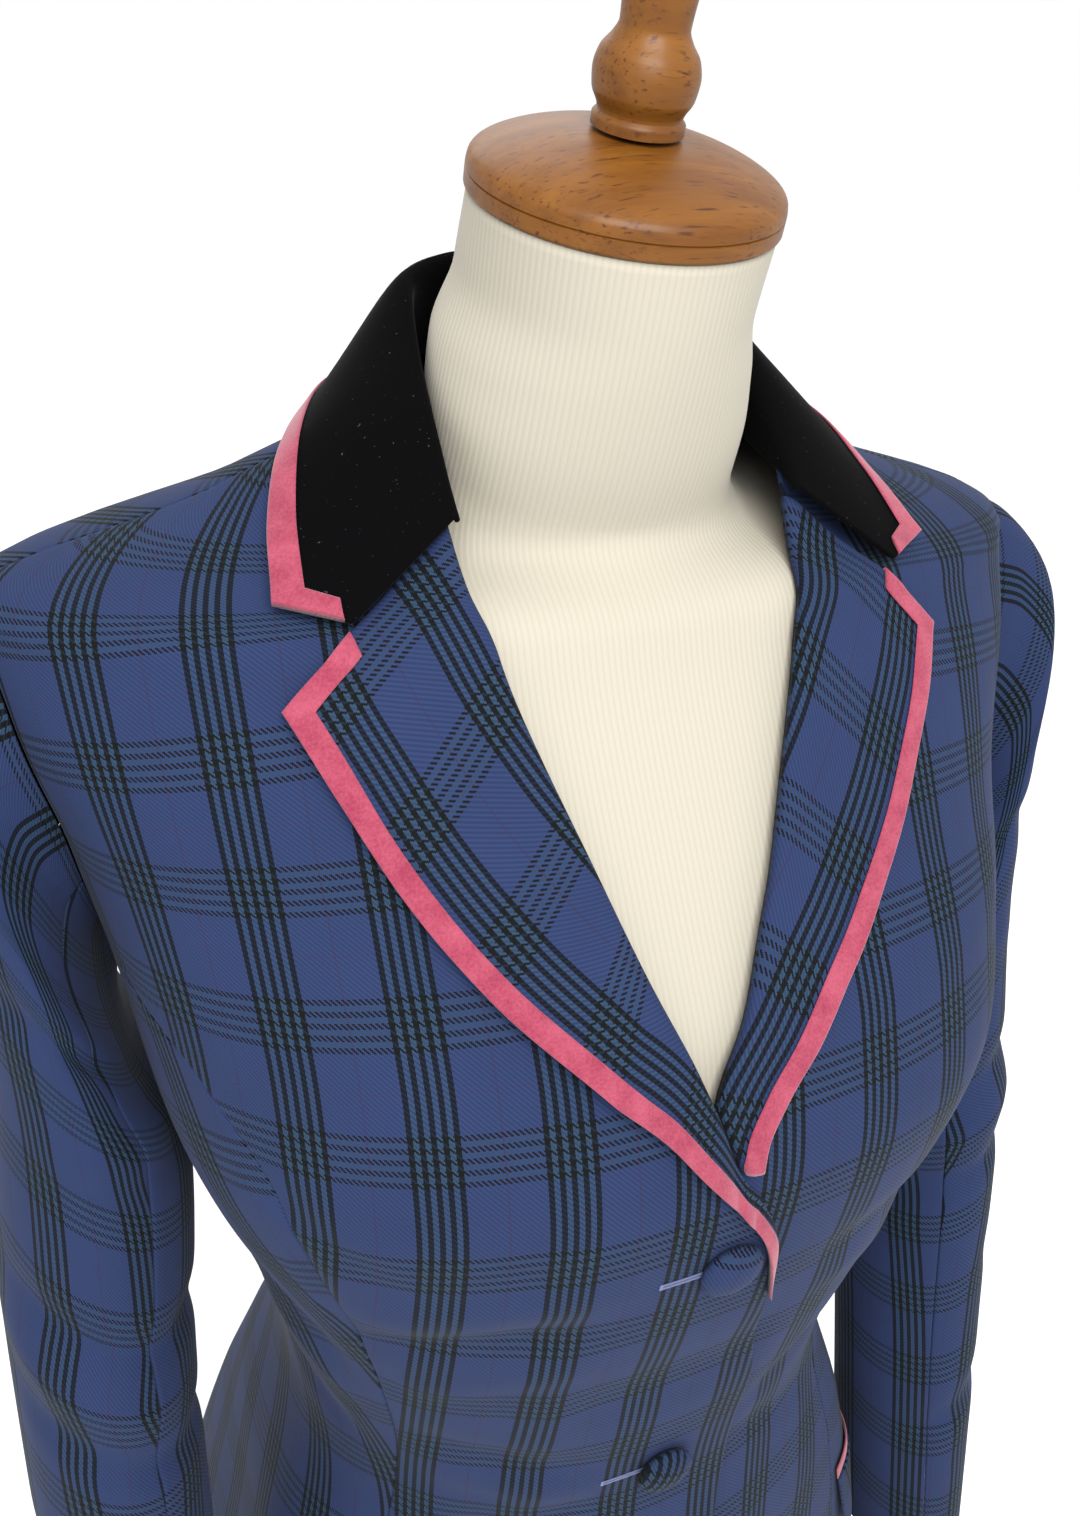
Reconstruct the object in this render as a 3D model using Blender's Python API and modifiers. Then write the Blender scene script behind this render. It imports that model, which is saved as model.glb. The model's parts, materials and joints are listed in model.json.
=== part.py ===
"""Hunt coat on a dress form.

The coat's body is one surface given by level sections.  Every panel is a patch of that surface between
two seams, and what lies on a panel is made from the panel's own points moved out.
Metres, Z up, the front faces -Y and the wearer's left is +X.
"""
import bpy
import numpy as np

# Sizes of the cloth and its seams
WALL = 0.002
BAND_WALL = 0.001
BAND_GAP = 0.0010
SEAM_GAP = 0.0003
SLEEVE_GAP = 0.0009
LIE_GAP = 0.001
LAP_LIFT = 0.0026
# Where the lapped front and its lapel come down again: distance from the centre, and levels
LAP_ENDS, LAP_TOP, LAPEL_LAP_TOP = (0.046, 0.072), (0.200, 0.230), (0.215, 0.245)
BAND_WIDTH = 0.008
FORM_INSET, SHOULDER_INSET = 0.0065, 0.0034

# Heights from the floor, and levels measured from the waist
WAIST = 0.50
HEM = -0.300
NECK_EDGE = 0.378
SHOULDER_TIP = 0.324

# Sections of the coat's outside:
# level, half width, front, back, widest, front rise, back rise, front squareness, back squareness
BODY = np.array([
    (-0.300, 0.190, -0.190, 0.165, -0.028, 0.000, 0.000, 2.3, 2.2),
    (-0.180, 0.164, -0.168, 0.140, -0.040, 0.000, 0.000, 2.3, 2.2),
    (-0.080, 0.141, -0.148, 0.108, -0.048, 0.000, 0.000, 2.3, 2.2),
    (0.000, 0.120, -0.136, 0.086, -0.040, 0.000, 0.000, 2.3, 2.2),
    (0.080, 0.133, -0.143, 0.096, -0.036, 0.000, 0.000, 2.5, 2.2),
    (0.165, 0.160, -0.150, 0.106, -0.020, 0.000, 0.000, 2.7, 2.2),
    (0.215, 0.169, -0.136, 0.112, 0.001, 0.000, 0.000, 2.5, 2.2),
    (0.255, 0.179, -0.108, 0.113, 0.014, 0.000, 0.000, 2.3, 2.3),
    (0.295, 0.193, -0.078, 0.106, 0.026, 0.000, 0.000, 2.2, 2.2),
    (0.324, 0.196, -0.058, 0.094, 0.028, 0.000, 0.005, 2.0, 2.0),
    (0.3525, 0.119, -0.046, 0.074, 0.028, -0.014, 0.002, 2.0, 2.0),
    (0.378, 0.072, -0.038, 0.054, 0.016, -0.022, -0.004, 2.0, 2.0),
])

# Fold line of the lapel and the lapel's free edge: level, distance from the centre front
ROLL = np.array([
    (0.110, -0.0235), (0.125, -0.0208), (0.150, -0.0168), (0.168, -0.0085), (0.184, 0.002),
    (0.204, 0.0092), (0.238, 0.023), (0.268, 0.034), (0.322, 0.052), (0.356, 0.058), (0.378, 0.061),
])
LAPEL_EDGE = np.array([
    (0.108, -0.0232), (0.125, -0.0187), (0.152, -0.0100), (0.170, 0.002), (0.188, 0.0175), (0.202, 0.029),
    (0.218, 0.0465), (0.242, 0.073), (0.266, 0.0915), (0.292, 0.106), (0.312, 0.1165),
])
# The wearer's left lapel is pulled nearer the centre by the lapped front: its own fold and free edge
LEFT_FOLD = np.array([
    (0.182, -0.0100), (0.204, -0.0080), (0.213, -0.0045), (0.2285, 0.0056), (0.243, 0.0140), (0.260, 0.0240),
    (0.277, 0.0323), (0.299, 0.0428), (0.317, 0.0510), (0.335, 0.0562), (0.356, 0.0590), (0.378, 0.0610),
])
LEFT_EDGE = np.array([
    (0.182, 0.0062), (0.190, 0.0075), (0.202, 0.0145), (0.2155, 0.0268), (0.228, 0.0393), (0.239, 0.0527),
    (0.253, 0.0675), (0.265, 0.0790), (0.279, 0.0900), (0.2935, 0.1010), (0.312, 0.1122),
])
GORGE_LEVEL = 0.366
LAPEL_LOW_RIGHT = 0.114
LAPEL_LOW_LEFT = 0.182
NOTCH_SHARE = 0.62
LAPEL_LIFT = WALL + LIE_GAP
# The lapel's cloth ends just inside the outer edge of its band
LAPEL_TRIM = 0.985
# The band takes at most this share of the narrow foot of a lapel
BAND_MOST = 0.92

# Front edge below the lapel: level, overlap past the centre front
FRONT_EDGE = np.array([
    (-0.300, 0.008), (-0.250, 0.021), (-0.120, 0.028), (-0.042, 0.031), (0.000, 0.033), (0.040, 0.033),
    (0.086, 0.0265), (0.110, 0.0235),
])

# Seams as level, turn from the centre front in degrees
FRONT_SEAM = np.array([
    (-0.300, 50.0), (-0.030, 52.0), (0.060, 49.0), (0.120, 49.0), (0.150, 50.5), (0.182, 53.5), (0.208, 64.0),
    (0.226, 89.0),
])
BACK_SEAM = np.array([
    (-0.300, 143.0), (0.000, 142.0), (0.120, 140.0), (0.200, 136.0), (0.226, 132.0),
])

# Armhole, an oval in side view
ARMHOLE_Y, ARMHOLE_LEVEL = 0.035, 0.2605
ARMHOLE_DEEP, ARMHOLE_TALL = 0.046, 0.0635

# Sleeve rings: share down, outer x, outer level, inner x, inner level, middle y, half depth
SLEEVE = np.array([
    (0.00, 0.196, 0.324, 0.1665, 0.197, 0.035, 0.046),
    (0.04, 0.210, 0.319, 0.1690, 0.193, 0.032, 0.050),
    (0.10, 0.221, 0.302, 0.1680, 0.184, 0.019, 0.051),
    (0.22, 0.213, 0.258, 0.1628, 0.160, 0.0115, 0.057),
    (0.35, 0.2135, 0.185, 0.1480, 0.120, -0.004, 0.0545),
    (0.55, 0.222, 0.070, 0.1565, 0.030, -0.032, 0.050),
    (0.78, 0.2255, -0.070, 0.1610, -0.085, -0.069, 0.040),
    (1.00, 0.2305, -0.215, 0.172, -0.215, -0.097, 0.0415),
])
SLEEVE_SEAM = 112.0
SEAT_SHARE = 0.20
# Turn left free beside each long sleeve seam
SLEEVE_TRIM = 0.8

# Collar from its front end to the centre back: share, crease x, y, level, edge x, y, level
COLLAR = np.array([
    (0.00, 0.0603, -0.0331, 0.3594, 0.1149, -0.0329, 0.3385),
    (0.18, 0.0595, -0.0184, 0.3706, 0.1088, -0.0087, 0.3512),
    (0.40, 0.0570, 0.0095, 0.3899, 0.0973, 0.0193, 0.3645),
    (0.62, 0.0505, 0.0393, 0.4083, 0.0733, 0.0586, 0.3677),
    (0.82, 0.0269, 0.0562, 0.4130, 0.0365, 0.0775, 0.3641),
    (1.00, 0.0000, 0.0608, 0.4126, 0.0000, 0.0806, 0.3630),
])
NOTCH = (0.0945, -0.0460, 0.3362)
COLLAR_RISE = 0.007
STAND_FRONT, STAND_BACK = 0.0008, 0.026
LEAN_FRONT, LEAN_BACK = -0.0006, 0.002
COLLAR_WALL = 0.0018
# Shares of the collar that its band takes across and at the ends, and its room beside the lapel
BAND_REACH, BAND_END, BAND_CLEAR = 0.17, 0.055, 0.04

# Buttons and pockets
BUTTON_X = 0.000
# Level of each button and its shank, which stands it clear of the curved front
BUTTONS = ((0.142, 0.0004), (0.009, 0.0017), (-0.124, 0.0005))
BUTTON_RADIUS, BUTTON_RISE, BUTTON_EDGE = 0.0115, 0.0050, 0.0016
POCKET_LEVEL, POCKET_SLOPE = -0.112, -0.006
POCKET_TURNS = (54.0, 92.0)
WELT_TALL, FLAP_TALL = 0.008, 0.045

# Dress form: neck rings as level, half width, front, back, middle, front rise
FORM_FOOT, FORM_SHOULDER = -0.235, 0.340
NECK = np.array([
    (0.364, 0.0540, -0.0320, 0.0450, 0.0070, -0.0130),
    (0.380, 0.0540, -0.0385, 0.0515, 0.0060, -0.0100),
    (0.400, 0.0520, -0.0440, 0.0525, 0.0080, -0.0080),
    (0.420, 0.0463, -0.0480, 0.0472, 0.0035, -0.0078),
    (0.4420, 0.0464, -0.0511, 0.0403, -0.0054, -0.0081),
])
CAP_CENTRE = (0.0, -0.0054, 0.4420)
CAP_TILT = 10.0
# Turned profiles from top to bottom: radius, height
CAP_PROFILE = ((0.0, 0.0205), (0.0170, 0.0196), (0.0320, 0.0164), (0.0430, 0.0122), (0.0466, 0.0096),
               (0.0475, 0.0078), (0.0475, 0.0012), (0.0465, 0.0003), (0.0, 0.0003))
FINIAL_PROFILE = ((0.0, 0.0975), (0.0070, 0.0963), (0.0118, 0.0920), (0.0136, 0.0855), (0.0134, 0.0785),
                  (0.0122, 0.0695), (0.0110, 0.0605), (0.0101, 0.0515), (0.0099, 0.0477), (0.0112, 0.0447),
                  (0.0142, 0.0405), (0.0153, 0.0358), (0.0147, 0.0306), (0.0126, 0.0264), (0.0124, 0.0254),
                  (0.0136, 0.0240), (0.0136, 0.0213), (0.0, 0.0213))
POLE_RADIUS = 0.0125
BASE_PROFILE = ((0.0, 0.0320), (0.0250, 0.0320), (0.0280, 0.0290), (0.0320, 0.0262), (0.1400, 0.0200),
                (0.1620, 0.0160), (0.1680, 0.0100), (0.1680, 0.0030), (0.1650, 0.0), (0.0, 0.0))
BASE_TOP = 0.0320


def smooth(at, table, column):
    """Value of a table's column at a place in its first column, without overshoot."""
    places, values = table[:, 0], table[:, column]
    steps = np.diff(places)
    slopes = np.diff(values) / steps
    lean = np.concatenate([slopes[:1], np.zeros(len(places) - 2), slopes[-1:]])
    for k in range(1, len(places) - 1):
        if slopes[k - 1] * slopes[k] > 0:
            before, after = 2 * steps[k] + steps[k - 1], steps[k] + 2 * steps[k - 1]
            lean[k] = (before + after) / (before / slopes[k - 1] + after / slopes[k])
    at = np.clip(at, places[0], places[-1])
    k = np.clip(np.searchsorted(places, at, side="right") - 1, 0, len(places) - 2)
    u = (at - places[k]) / steps[k]
    return ((1 + 2 * u) * (1 - u) ** 2 * values[k] + u * (1 - u) ** 2 * steps[k] * lean[k]
            + u * u * (3 - 2 * u) * values[k + 1] + u * u * (u - 1) * steps[k] * lean[k + 1])


def ease(value, low, high):
    """0 below low, 1 above high, a smooth step between."""
    share = np.clip((value - low) / (high - low), 0, 1)
    return share * share * (3 - 2 * share)


def body_section(turn, level):
    """Point of the coat's outside at a turn in degrees (0 front, 90 wearer's left) and a level."""
    turn, level = np.broadcast_arrays(np.asarray(turn, float), np.asarray(level, float))
    half, front, back, wide, front_rise, back_rise, front_power, back_power = (
        smooth(level, BODY, column) for column in range(1, 9))
    sine, cosine = np.sin(np.radians(turn)), np.cos(np.radians(turn))
    power = np.where(cosine > 0, front_power, back_power)
    depth = np.where(cosine > 0, wide - front, back - wide)
    rise = np.where(cosine > 0, front_rise, back_rise)
    x = half * np.sign(sine) * np.abs(sine) ** (2 / power)
    y = wide - depth * np.sign(cosine) * np.abs(cosine) ** (2 / power)
    return np.stack([x, y, WAIST + level + rise * cosine ** 2], axis=-1)


def unit(vectors):
    return vectors / np.linalg.norm(vectors, axis=-1, keepdims=True)


def body(turn, level, lift=0.0):
    """The same point moved out along the surface's normal."""
    turn_step, level_step = 0.5, 0.0005
    level = np.clip(level, HEM + level_step, NECK_EDGE - level_step)
    across = body_section(turn + turn_step, level) - body_section(turn - turn_step, level)
    upward = body_section(turn, level + level_step) - body_section(turn, level - level_step)
    normal = unit(np.cross(across, upward))
    return body_section(turn, level) + normal * np.asarray(lift)[..., None]


def turn_at_x(x, level):
    """Turn of the front point that lies x from the middle."""
    half, power = smooth(level, BODY, 1), smooth(level, BODY, 7)
    share = np.clip(np.abs(x) / half, 0, 1) ** (power / 2)
    return np.sign(x) * np.degrees(np.arcsin(share))


def turn_at_y(y, level):
    """Turn of the wearer's left point at depth y."""
    front, back, wide = (smooth(level, BODY, column) for column in (2, 3, 4))
    forward = y < wide
    power = np.where(forward, smooth(level, BODY, 7), smooth(level, BODY, 8))
    depth = np.where(forward, wide - front, back - wide)
    share = np.clip(np.abs(y - wide) / depth, 0, 1) ** (power / 2)
    return np.where(forward, np.degrees(np.arccos(share)), 180 - np.degrees(np.arccos(share)))


def seam_turn(distance, level):
    """Turn that moves a side point by a distance along its section."""
    return np.degrees(distance / smooth(level, BODY, 1))


def seam_half_gap(level, seam):
    """Turn of half a seam's gap, wider where the seam runs at a slant."""
    step = 0.008
    here = smooth(level, seam, 1)
    slant = np.maximum(np.abs(here - smooth(level - step, seam, 1)),
                       np.abs(smooth(level + step, seam, 1) - here))
    slope = np.radians(slant / step) * smooth(level, BODY, 1)
    return seam_turn(SEAM_GAP / 2, level) * np.sqrt(1 + slope ** 2)


def shell(name, outside, inside, material):
    """Closed solid between two grids of points; columns run so that the outside faces out."""
    rows, columns = outside.shape[:2]
    points = np.concatenate([outside.reshape(-1, 3), inside.reshape(-1, 3)])
    layer = rows * columns
    faces = []
    for i in range(rows - 1):
        for j in range(columns - 1):
            quad = (i * columns + j, i * columns + j + 1, (i + 1) * columns + j + 1, (i + 1) * columns + j)
            faces.append(quad)
            faces.append(tuple(layer + corner for corner in reversed(quad)))
    rim = list(range(columns))
    rim += [i * columns + columns - 1 for i in range(1, rows)]
    rim += [(rows - 1) * columns + j for j in range(columns - 2, -1, -1)]
    rim += [i * columns for i in range(rows - 2, 0, -1)]
    for a, b in zip(rim, rim[1:] + rim[:1]):
        faces.append((b, a, layer + a, layer + b))
    return add_mesh(name, points, faces, material)


def add_mesh(name, points, faces, material, edges=()):
    mesh = bpy.data.meshes.new(name)
    mesh.from_pydata([tuple(float(value) for value in point) for point in points], list(edges), faces)
    mesh.update()
    piece = bpy.data.objects.new(name, mesh)
    piece.data.materials.append(material)
    coat.objects.link(piece)
    return piece


def turned(name, profile, material, steps, place=(0.0, 0.0, 0.0), tilt=0.0):
    """Solid of revolution about its own upright axis; the profile runs from top to bottom."""
    points = [(radius, 0.0, height) for radius, height in profile]
    piece = add_mesh(name, points, [], material, [(k, k + 1) for k in range(len(points) - 1)])
    screw = piece.modifiers.new("turn", "SCREW")
    screw.axis = "Z"
    screw.steps = screw.render_steps = steps
    screw.use_merge_vertices = True
    screw.merge_threshold = 0.00001
    piece.location = place
    piece.rotation_euler = (np.radians(tilt), 0.0, 0.0)
    return piece


def material(name, red, green, blue, roughness):
    made = bpy.data.materials.new(name)
    made.use_nodes = True
    shader = made.node_tree.nodes["Principled BSDF"]
    shader.inputs["Base Color"].default_value = (red, green, blue, 1.0)
    shader.inputs["Roughness"].default_value = roughness
    return made


def mirrored(grid):
    """Grid on the other side; columns are reversed so that it still faces out."""
    return (grid * np.array([-1.0, 1.0, 1.0]))[:, ::-1]


def grid_shares(rows, columns):
    """Shares up and across a panel."""
    up, across = np.meshgrid(np.linspace(0, 1, rows), np.linspace(0, 1, columns), indexing="ij")
    return up, across


def armhole_turns(level):
    """Turns of the armhole's front and back edges at a level."""
    reach = np.sqrt(np.clip(1 - ((level - ARMHOLE_LEVEL) / (ARMHOLE_TALL + SEAM_GAP)) ** 2, 0, 1))
    deep = (ARMHOLE_DEEP + SEAM_GAP) * reach
    return turn_at_y(ARMHOLE_Y - deep, level), turn_at_y(ARMHOLE_Y + deep, level)


# Both long seams end on the armhole
FRONT_SEAM[-1, 1], BACK_SEAM[-1, 1] = armhole_turns(FRONT_SEAM[-1, 0])


def outer_turn(level, seam, side):
    """Edge of a front (side 0) or a back (side 1): its long seam, the armhole, then the shoulder seam."""
    low = smooth(level, seam, 1)
    hole = armhole_turns(level)[side]
    sign = -1 if side == 0 else 1
    turn = np.where(level <= seam[-1, 0], low + sign * seam_half_gap(level, seam), hole)
    shoulder = 90 + sign * seam_turn(SEAM_GAP / 2, level)
    return np.where(level > SHOULDER_TIP, shoulder, turn)


def left_fold_x(level):
    """Fold of the wearer's left lapel, kept beside the fold of the lapped one."""
    return np.maximum(smooth(level, LEFT_FOLD, 1), LIE_GAP - smooth(level, ROLL, 1))


def front_edge_x(level, lapped):
    """Reach of a front across the centre; negative is past it."""
    fold = smooth(level, ROLL, 1)
    if not lapped:
        fold = np.where(level < LAPEL_LOW_LEFT, fold, left_fold_x(level))
    return np.where(level < ROLL[0, 0], -smooth(level, FRONT_EDGE, 1), fold)


# Levels of the panels' rows, closer together where the front seam turns to the armhole
SEAM_ROWS = np.concatenate([np.linspace(HEM, 0.060, 9), [0.090, 0.120, 0.145, 0.168, 0.186],
                            [0.198, 0.206, 0.213, 0.220], FRONT_SEAM[-1, :1]])
ARMHOLE_START = np.arcsin((SEAM_ROWS[-1] - ARMHOLE_LEVEL) / ARMHOLE_TALL)
ARMHOLE_ROWS = ARMHOLE_LEVEL + ARMHOLE_TALL * np.sin(np.linspace(ARMHOLE_START, np.pi / 2, 9)[1:])
PANEL_ROWS = np.concatenate([SEAM_ROWS, ARMHOLE_ROWS, np.linspace(SHOULDER_TIP, NECK_EDGE, 5)[1:]])
FRONT_COLUMNS, SIDE_COLUMNS, BACK_COLUMNS = 11, 8, 9
# Columns of a front lie closer together near its free edge
FRONT_CROWDING = 1.25


def front_grid(lapped, depth):
    """Wearer's left front; lapped lifts it clear of the other front where the two lie together."""
    level = PANEL_ROWS[:, None]
    edge = front_edge_x(level, lapped)
    inner, outer = turn_at_x(edge, level), outer_turn(level, FRONT_SEAM, 0)
    turn = inner + (outer - inner) * np.linspace(0, 1, FRONT_COLUMNS)[None, :] ** FRONT_CROWDING
    level = np.broadcast_to(level, turn.shape)
    lift = np.full(turn.shape, -depth)
    if lapped:
        x = body_section(turn, level)[..., 0]
        lift = lift + LAP_LIFT * (1 - ease(x, *LAP_ENDS)) * (1 - ease(level, *LAP_TOP))
    return body(turn, level, lift)


def side_grid(depth):
    """Wearer's left side body; its top edge is the underside of the armhole."""
    up = ((SEAM_ROWS - HEM) / (SEAM_ROWS[-1] - HEM))[:, None]
    across = np.linspace(0, 1, SIDE_COLUMNS)
    top = np.full(SIDE_COLUMNS, SEAM_ROWS[-1])
    for _ in range(40):
        turn = side_turn(top, across)
        y = body_section(turn, top)[:, 1]
        reach = np.clip(1 - ((y - ARMHOLE_Y) / (ARMHOLE_DEEP + SEAM_GAP)) ** 2, 0, 1)
        top = 0.5 * top + 0.5 * (ARMHOLE_LEVEL - (ARMHOLE_TALL + SEAM_GAP) * np.sqrt(reach))
    level = HEM + (np.minimum(top, SEAM_ROWS[-1]) - HEM) * up
    return body(side_turn(level, across), level, np.full(level.shape, -depth))


def side_turn(level, across):
    front = smooth(level, FRONT_SEAM, 1) + seam_half_gap(level, FRONT_SEAM)
    back = smooth(level, BACK_SEAM, 1) - seam_half_gap(level, BACK_SEAM)
    return front + (back - front) * across


def back_grid(depth):
    """Wearer's left back, from the side-back seam, armhole and shoulder to the centre back seam."""
    level = PANEL_ROWS[:, None]
    outer = outer_turn(level, BACK_SEAM, 1)
    inner = 180 - seam_turn(SEAM_GAP / 2, level)
    turn = outer + (inner - outer) * np.linspace(0, 1, BACK_COLUMNS)[None, :]
    level = np.broadcast_to(level, turn.shape)
    return body(turn, level, np.full(turn.shape, -depth))


def sleeve_point(angle, share):
    """Point of the wearer's left sleeve; angle 0 is the outer side and 90 the back."""
    outer_x, outer_level, inner_x, inner_level, middle_y, deep = (
        smooth(share, SLEEVE, column) for column in range(1, 7))
    cosine, sine = np.cos(np.radians(angle)), np.sin(np.radians(angle))
    x = (outer_x + inner_x) / 2 + (outer_x - inner_x) / 2 * cosine
    level = (outer_level + inner_level) / 2 + (outer_level - inner_level) / 2 * cosine
    point = np.stack([x, middle_y + deep * sine, WAIST + level], axis=-1)
    hole_level = ARMHOLE_LEVEL + (ARMHOLE_TALL - SLEEVE_GAP) * cosine
    hole_y = ARMHOLE_Y + (ARMHOLE_DEEP - SLEEVE_GAP) * sine
    hole = body_section(turn_at_y(hole_y, hole_level), hole_level)
    start = np.stack([(SLEEVE[0, 1] + SLEEVE[0, 3]) / 2 + (SLEEVE[0, 1] - SLEEVE[0, 3]) / 2 * cosine,
                      hole_y, WAIST + hole_level], axis=-1)
    seat = (1 - ease(share, 0.0, SEAT_SHARE))[..., None]
    return point + seat * (hole - start)


def sleeve_grid(first, last, depth):
    """Part of the sleeve between two angles, moved in by depth."""
    share = np.concatenate([[0.0, 0.02, 0.05, 0.10], np.linspace(0.17, 1.0, 10)])[::-1]
    angle = np.linspace(first + SLEEVE_TRIM, last - SLEEVE_TRIM, 9)
    share, angle = np.meshgrid(share, angle, indexing="ij")
    angle_step, share_step = 1.0, 0.004
    around = sleeve_point(angle + angle_step, share) - sleeve_point(angle - angle_step, share)
    upward = (sleeve_point(angle, np.clip(share - share_step, 0, 1))
              - sleeve_point(angle, np.clip(share + share_step, 0, 1)))
    return sleeve_point(angle, share) - unit(np.cross(around, upward)) * depth


def lapel_point(up, across, low, lift):
    """Wearer's left lapel: up from its foot to the gorge, across from the fold to the free edge."""
    fold_level = low + (GORGE_LEVEL - low) * up
    edge_level = low + (LAPEL_EDGE[-1, 0] - low) * up
    fold_x, edge_x = smooth(fold_level, ROLL, 1), smooth(edge_level, LAPEL_EDGE, 1)
    if low == LAPEL_LOW_LEFT:
        fold_x, edge_x = left_fold_x(fold_level), smooth(edge_level, LEFT_EDGE, 1)
    x = fold_x + (edge_x - fold_x) * across
    level = fold_level + (edge_level - fold_level) * across
    if low == LAPEL_LOW_RIGHT:
        lift = lift + LAP_LIFT * (1 - ease(level, *LAPEL_LAP_TOP))
    return body(turn_at_x(x, level), level, lift)


def lapel_grid(low, lift):
    up, across = grid_shares(21, 8)
    return lapel_point(up, across * LAPEL_TRIM, low, np.full(up.shape, lift))


def lapel_band_grid(low, lift):
    """Strip along the notch edge and the free edge, with a mitre at the corner."""
    down = np.linspace(1, 0, 15)
    ones = np.ones_like(down)
    width = np.linalg.norm(lapel_point(down, ones, low, 0 * down)
                           - lapel_point(down, 0 * down, low, 0 * down), axis=-1)
    share = np.clip(BAND_WIDTH / width, 0, BAND_MOST)
    notch_across = np.linspace(NOTCH_SHARE, 1, 4)[:-1]
    drop = BAND_WIDTH / np.linalg.norm(lapel_point(np.array(1.0), np.array(1.0), low, np.array(0.0))
                                       - lapel_point(np.array(0.0), np.array(1.0), low, np.array(0.0)))
    edge = np.concatenate([np.stack([np.ones(3), notch_across], -1), np.stack([down, ones], -1)])
    corner_across = 1 - share[0]
    inner_notch = NOTCH_SHARE + (corner_across - NOTCH_SHARE) * np.linspace(0, 1, 4)[:-1]
    inner_down = np.minimum(down, 1 - drop)
    inner = np.concatenate([np.stack([np.full(3, 1 - drop), inner_notch], -1),
                            np.stack([inner_down, 1 - share], -1)])
    shares = np.stack([inner, (inner + edge) / 2, edge], axis=1)
    return lapel_point(shares[..., 0], shares[..., 1], low, np.full(shares.shape[:2], lift))[::-1]


def collar_point(around, across):
    """Collar's upper face: around from the wearer's right end (0) to the left end (2), across from the
    stand's foot (-1) over the crease (0) to the free edge (1)."""
    around, across = np.broadcast_arrays(np.asarray(around, float), np.asarray(across, float))
    side = np.where(around > 1, 1.0, -1.0)
    share = np.minimum(around, 2 - around)
    crease = np.stack([smooth(share, COLLAR, column) for column in (1, 2, 3)], -1)
    edge = np.stack([smooth(share, COLLAR, column) for column in (4, 5, 6)], -1)
    fall = np.clip(across, 0, 1)[..., None]
    near_end = (1 - ease(share, 0.0, 0.16))[..., None]
    straight = crease + (edge - crease) * fall
    bent = np.where(fall < NOTCH_SHARE, crease + (np.array(NOTCH) - crease) * fall / NOTCH_SHARE,
                    np.array(NOTCH) + (edge - np.array(NOTCH)) * (fall - NOTCH_SHARE) / (1 - NOTCH_SHARE))
    point = straight + (bent - straight) * near_end
    rise = COLLAR_RISE * np.sin(np.pi * np.sqrt(fall[..., 0])) * ease(share, 0.0, 0.30)
    behind = ease(share, 0.0, 0.55)
    stand = np.clip(-across, 0, 1) * (STAND_FRONT + (STAND_BACK - STAND_FRONT) * behind)
    lean = np.clip(-across, 0, 1) * (LEAN_FRONT + (LEAN_BACK - LEAN_FRONT) * behind)
    point = point + unit(crease * np.array([1.0, 1.0, 0.0])) * lean[..., None]
    point[..., 2] += rise - stand
    return point * np.stack([side, np.ones_like(side), np.ones_like(side)], -1) + np.array([0, 0, WAIST])


def collar_face(around, across, lift):
    """Collar's upper face moved out along its normal."""
    around, across = np.broadcast_arrays(around, across)
    around_step, across_step = 0.01, 0.03
    along = (collar_point(np.clip(around + around_step, 0, 2), across)
             - collar_point(np.clip(around - around_step, 0, 2), across))
    down = (collar_point(around, np.clip(across + across_step, -1, 1))
            - collar_point(around, np.clip(across - across_step, -1, 1)))
    return collar_point(around, across) + unit(np.cross(along, down)) * lift


COLLAR_AROUND = np.concatenate([np.linspace(0, 0.3, 5), np.linspace(0.4, 1.6, 13), np.linspace(1.7, 2, 5)])
COLLAR_ACROSS = np.array([-1.0, -0.55, -0.15, 0.0, 0.10, 0.30, 0.62, 0.82, 1.0])


def collar_grid(lift):
    across, around = np.meshgrid(COLLAR_ACROSS, COLLAR_AROUND, indexing="ij")
    return collar_face(around, across, lift)


def collar_band_grid(lift):
    """Strip along both ends and the free edge."""
    along = COLLAR_AROUND
    first = NOTCH_SHARE + BAND_CLEAR
    ends = np.linspace(first, 1, 4)[:-1]
    ends_in = first + (1 - BAND_REACH - first) * np.linspace(0, 1, 4)[:-1]
    edge = np.concatenate([np.stack([0 * ends, ends], -1), np.stack([along, np.ones_like(along)], -1),
                           np.stack([0 * ends + 2, ends[::-1]], -1)])
    along_in = BAND_END + (1 - BAND_END) * along
    inner = np.concatenate([np.stack([0 * ends + BAND_END, ends_in], -1),
                            np.stack([along_in, np.full_like(along, 1 - BAND_REACH)], -1),
                            np.stack([0 * ends + 2 - BAND_END, ends_in[::-1]], -1)])
    shares = np.stack([inner, (edge + inner) / 2, edge], axis=0)
    return collar_face(shares[..., 0], shares[..., 1], lift)


def pocket_grid(top, tall, lift):
    """Strip on the side body, top below the pocket line by top, with its own height."""
    up, across = grid_shares(4, 9)
    turn = POCKET_TURNS[0] + (POCKET_TURNS[1] - POCKET_TURNS[0]) * across
    level = POCKET_LEVEL + POCKET_SLOPE * across - top - tall * (1 - up)
    return body(turn, level, np.full(turn.shape, lift))


def both_sides(name, outside, inside, cloth_material):
    """A wearer's left piece and its mirror image."""
    shell(name + "_left", outside, inside, cloth_material)
    shell(name + "_right", mirrored(outside), mirrored(inside), cloth_material)


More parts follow.
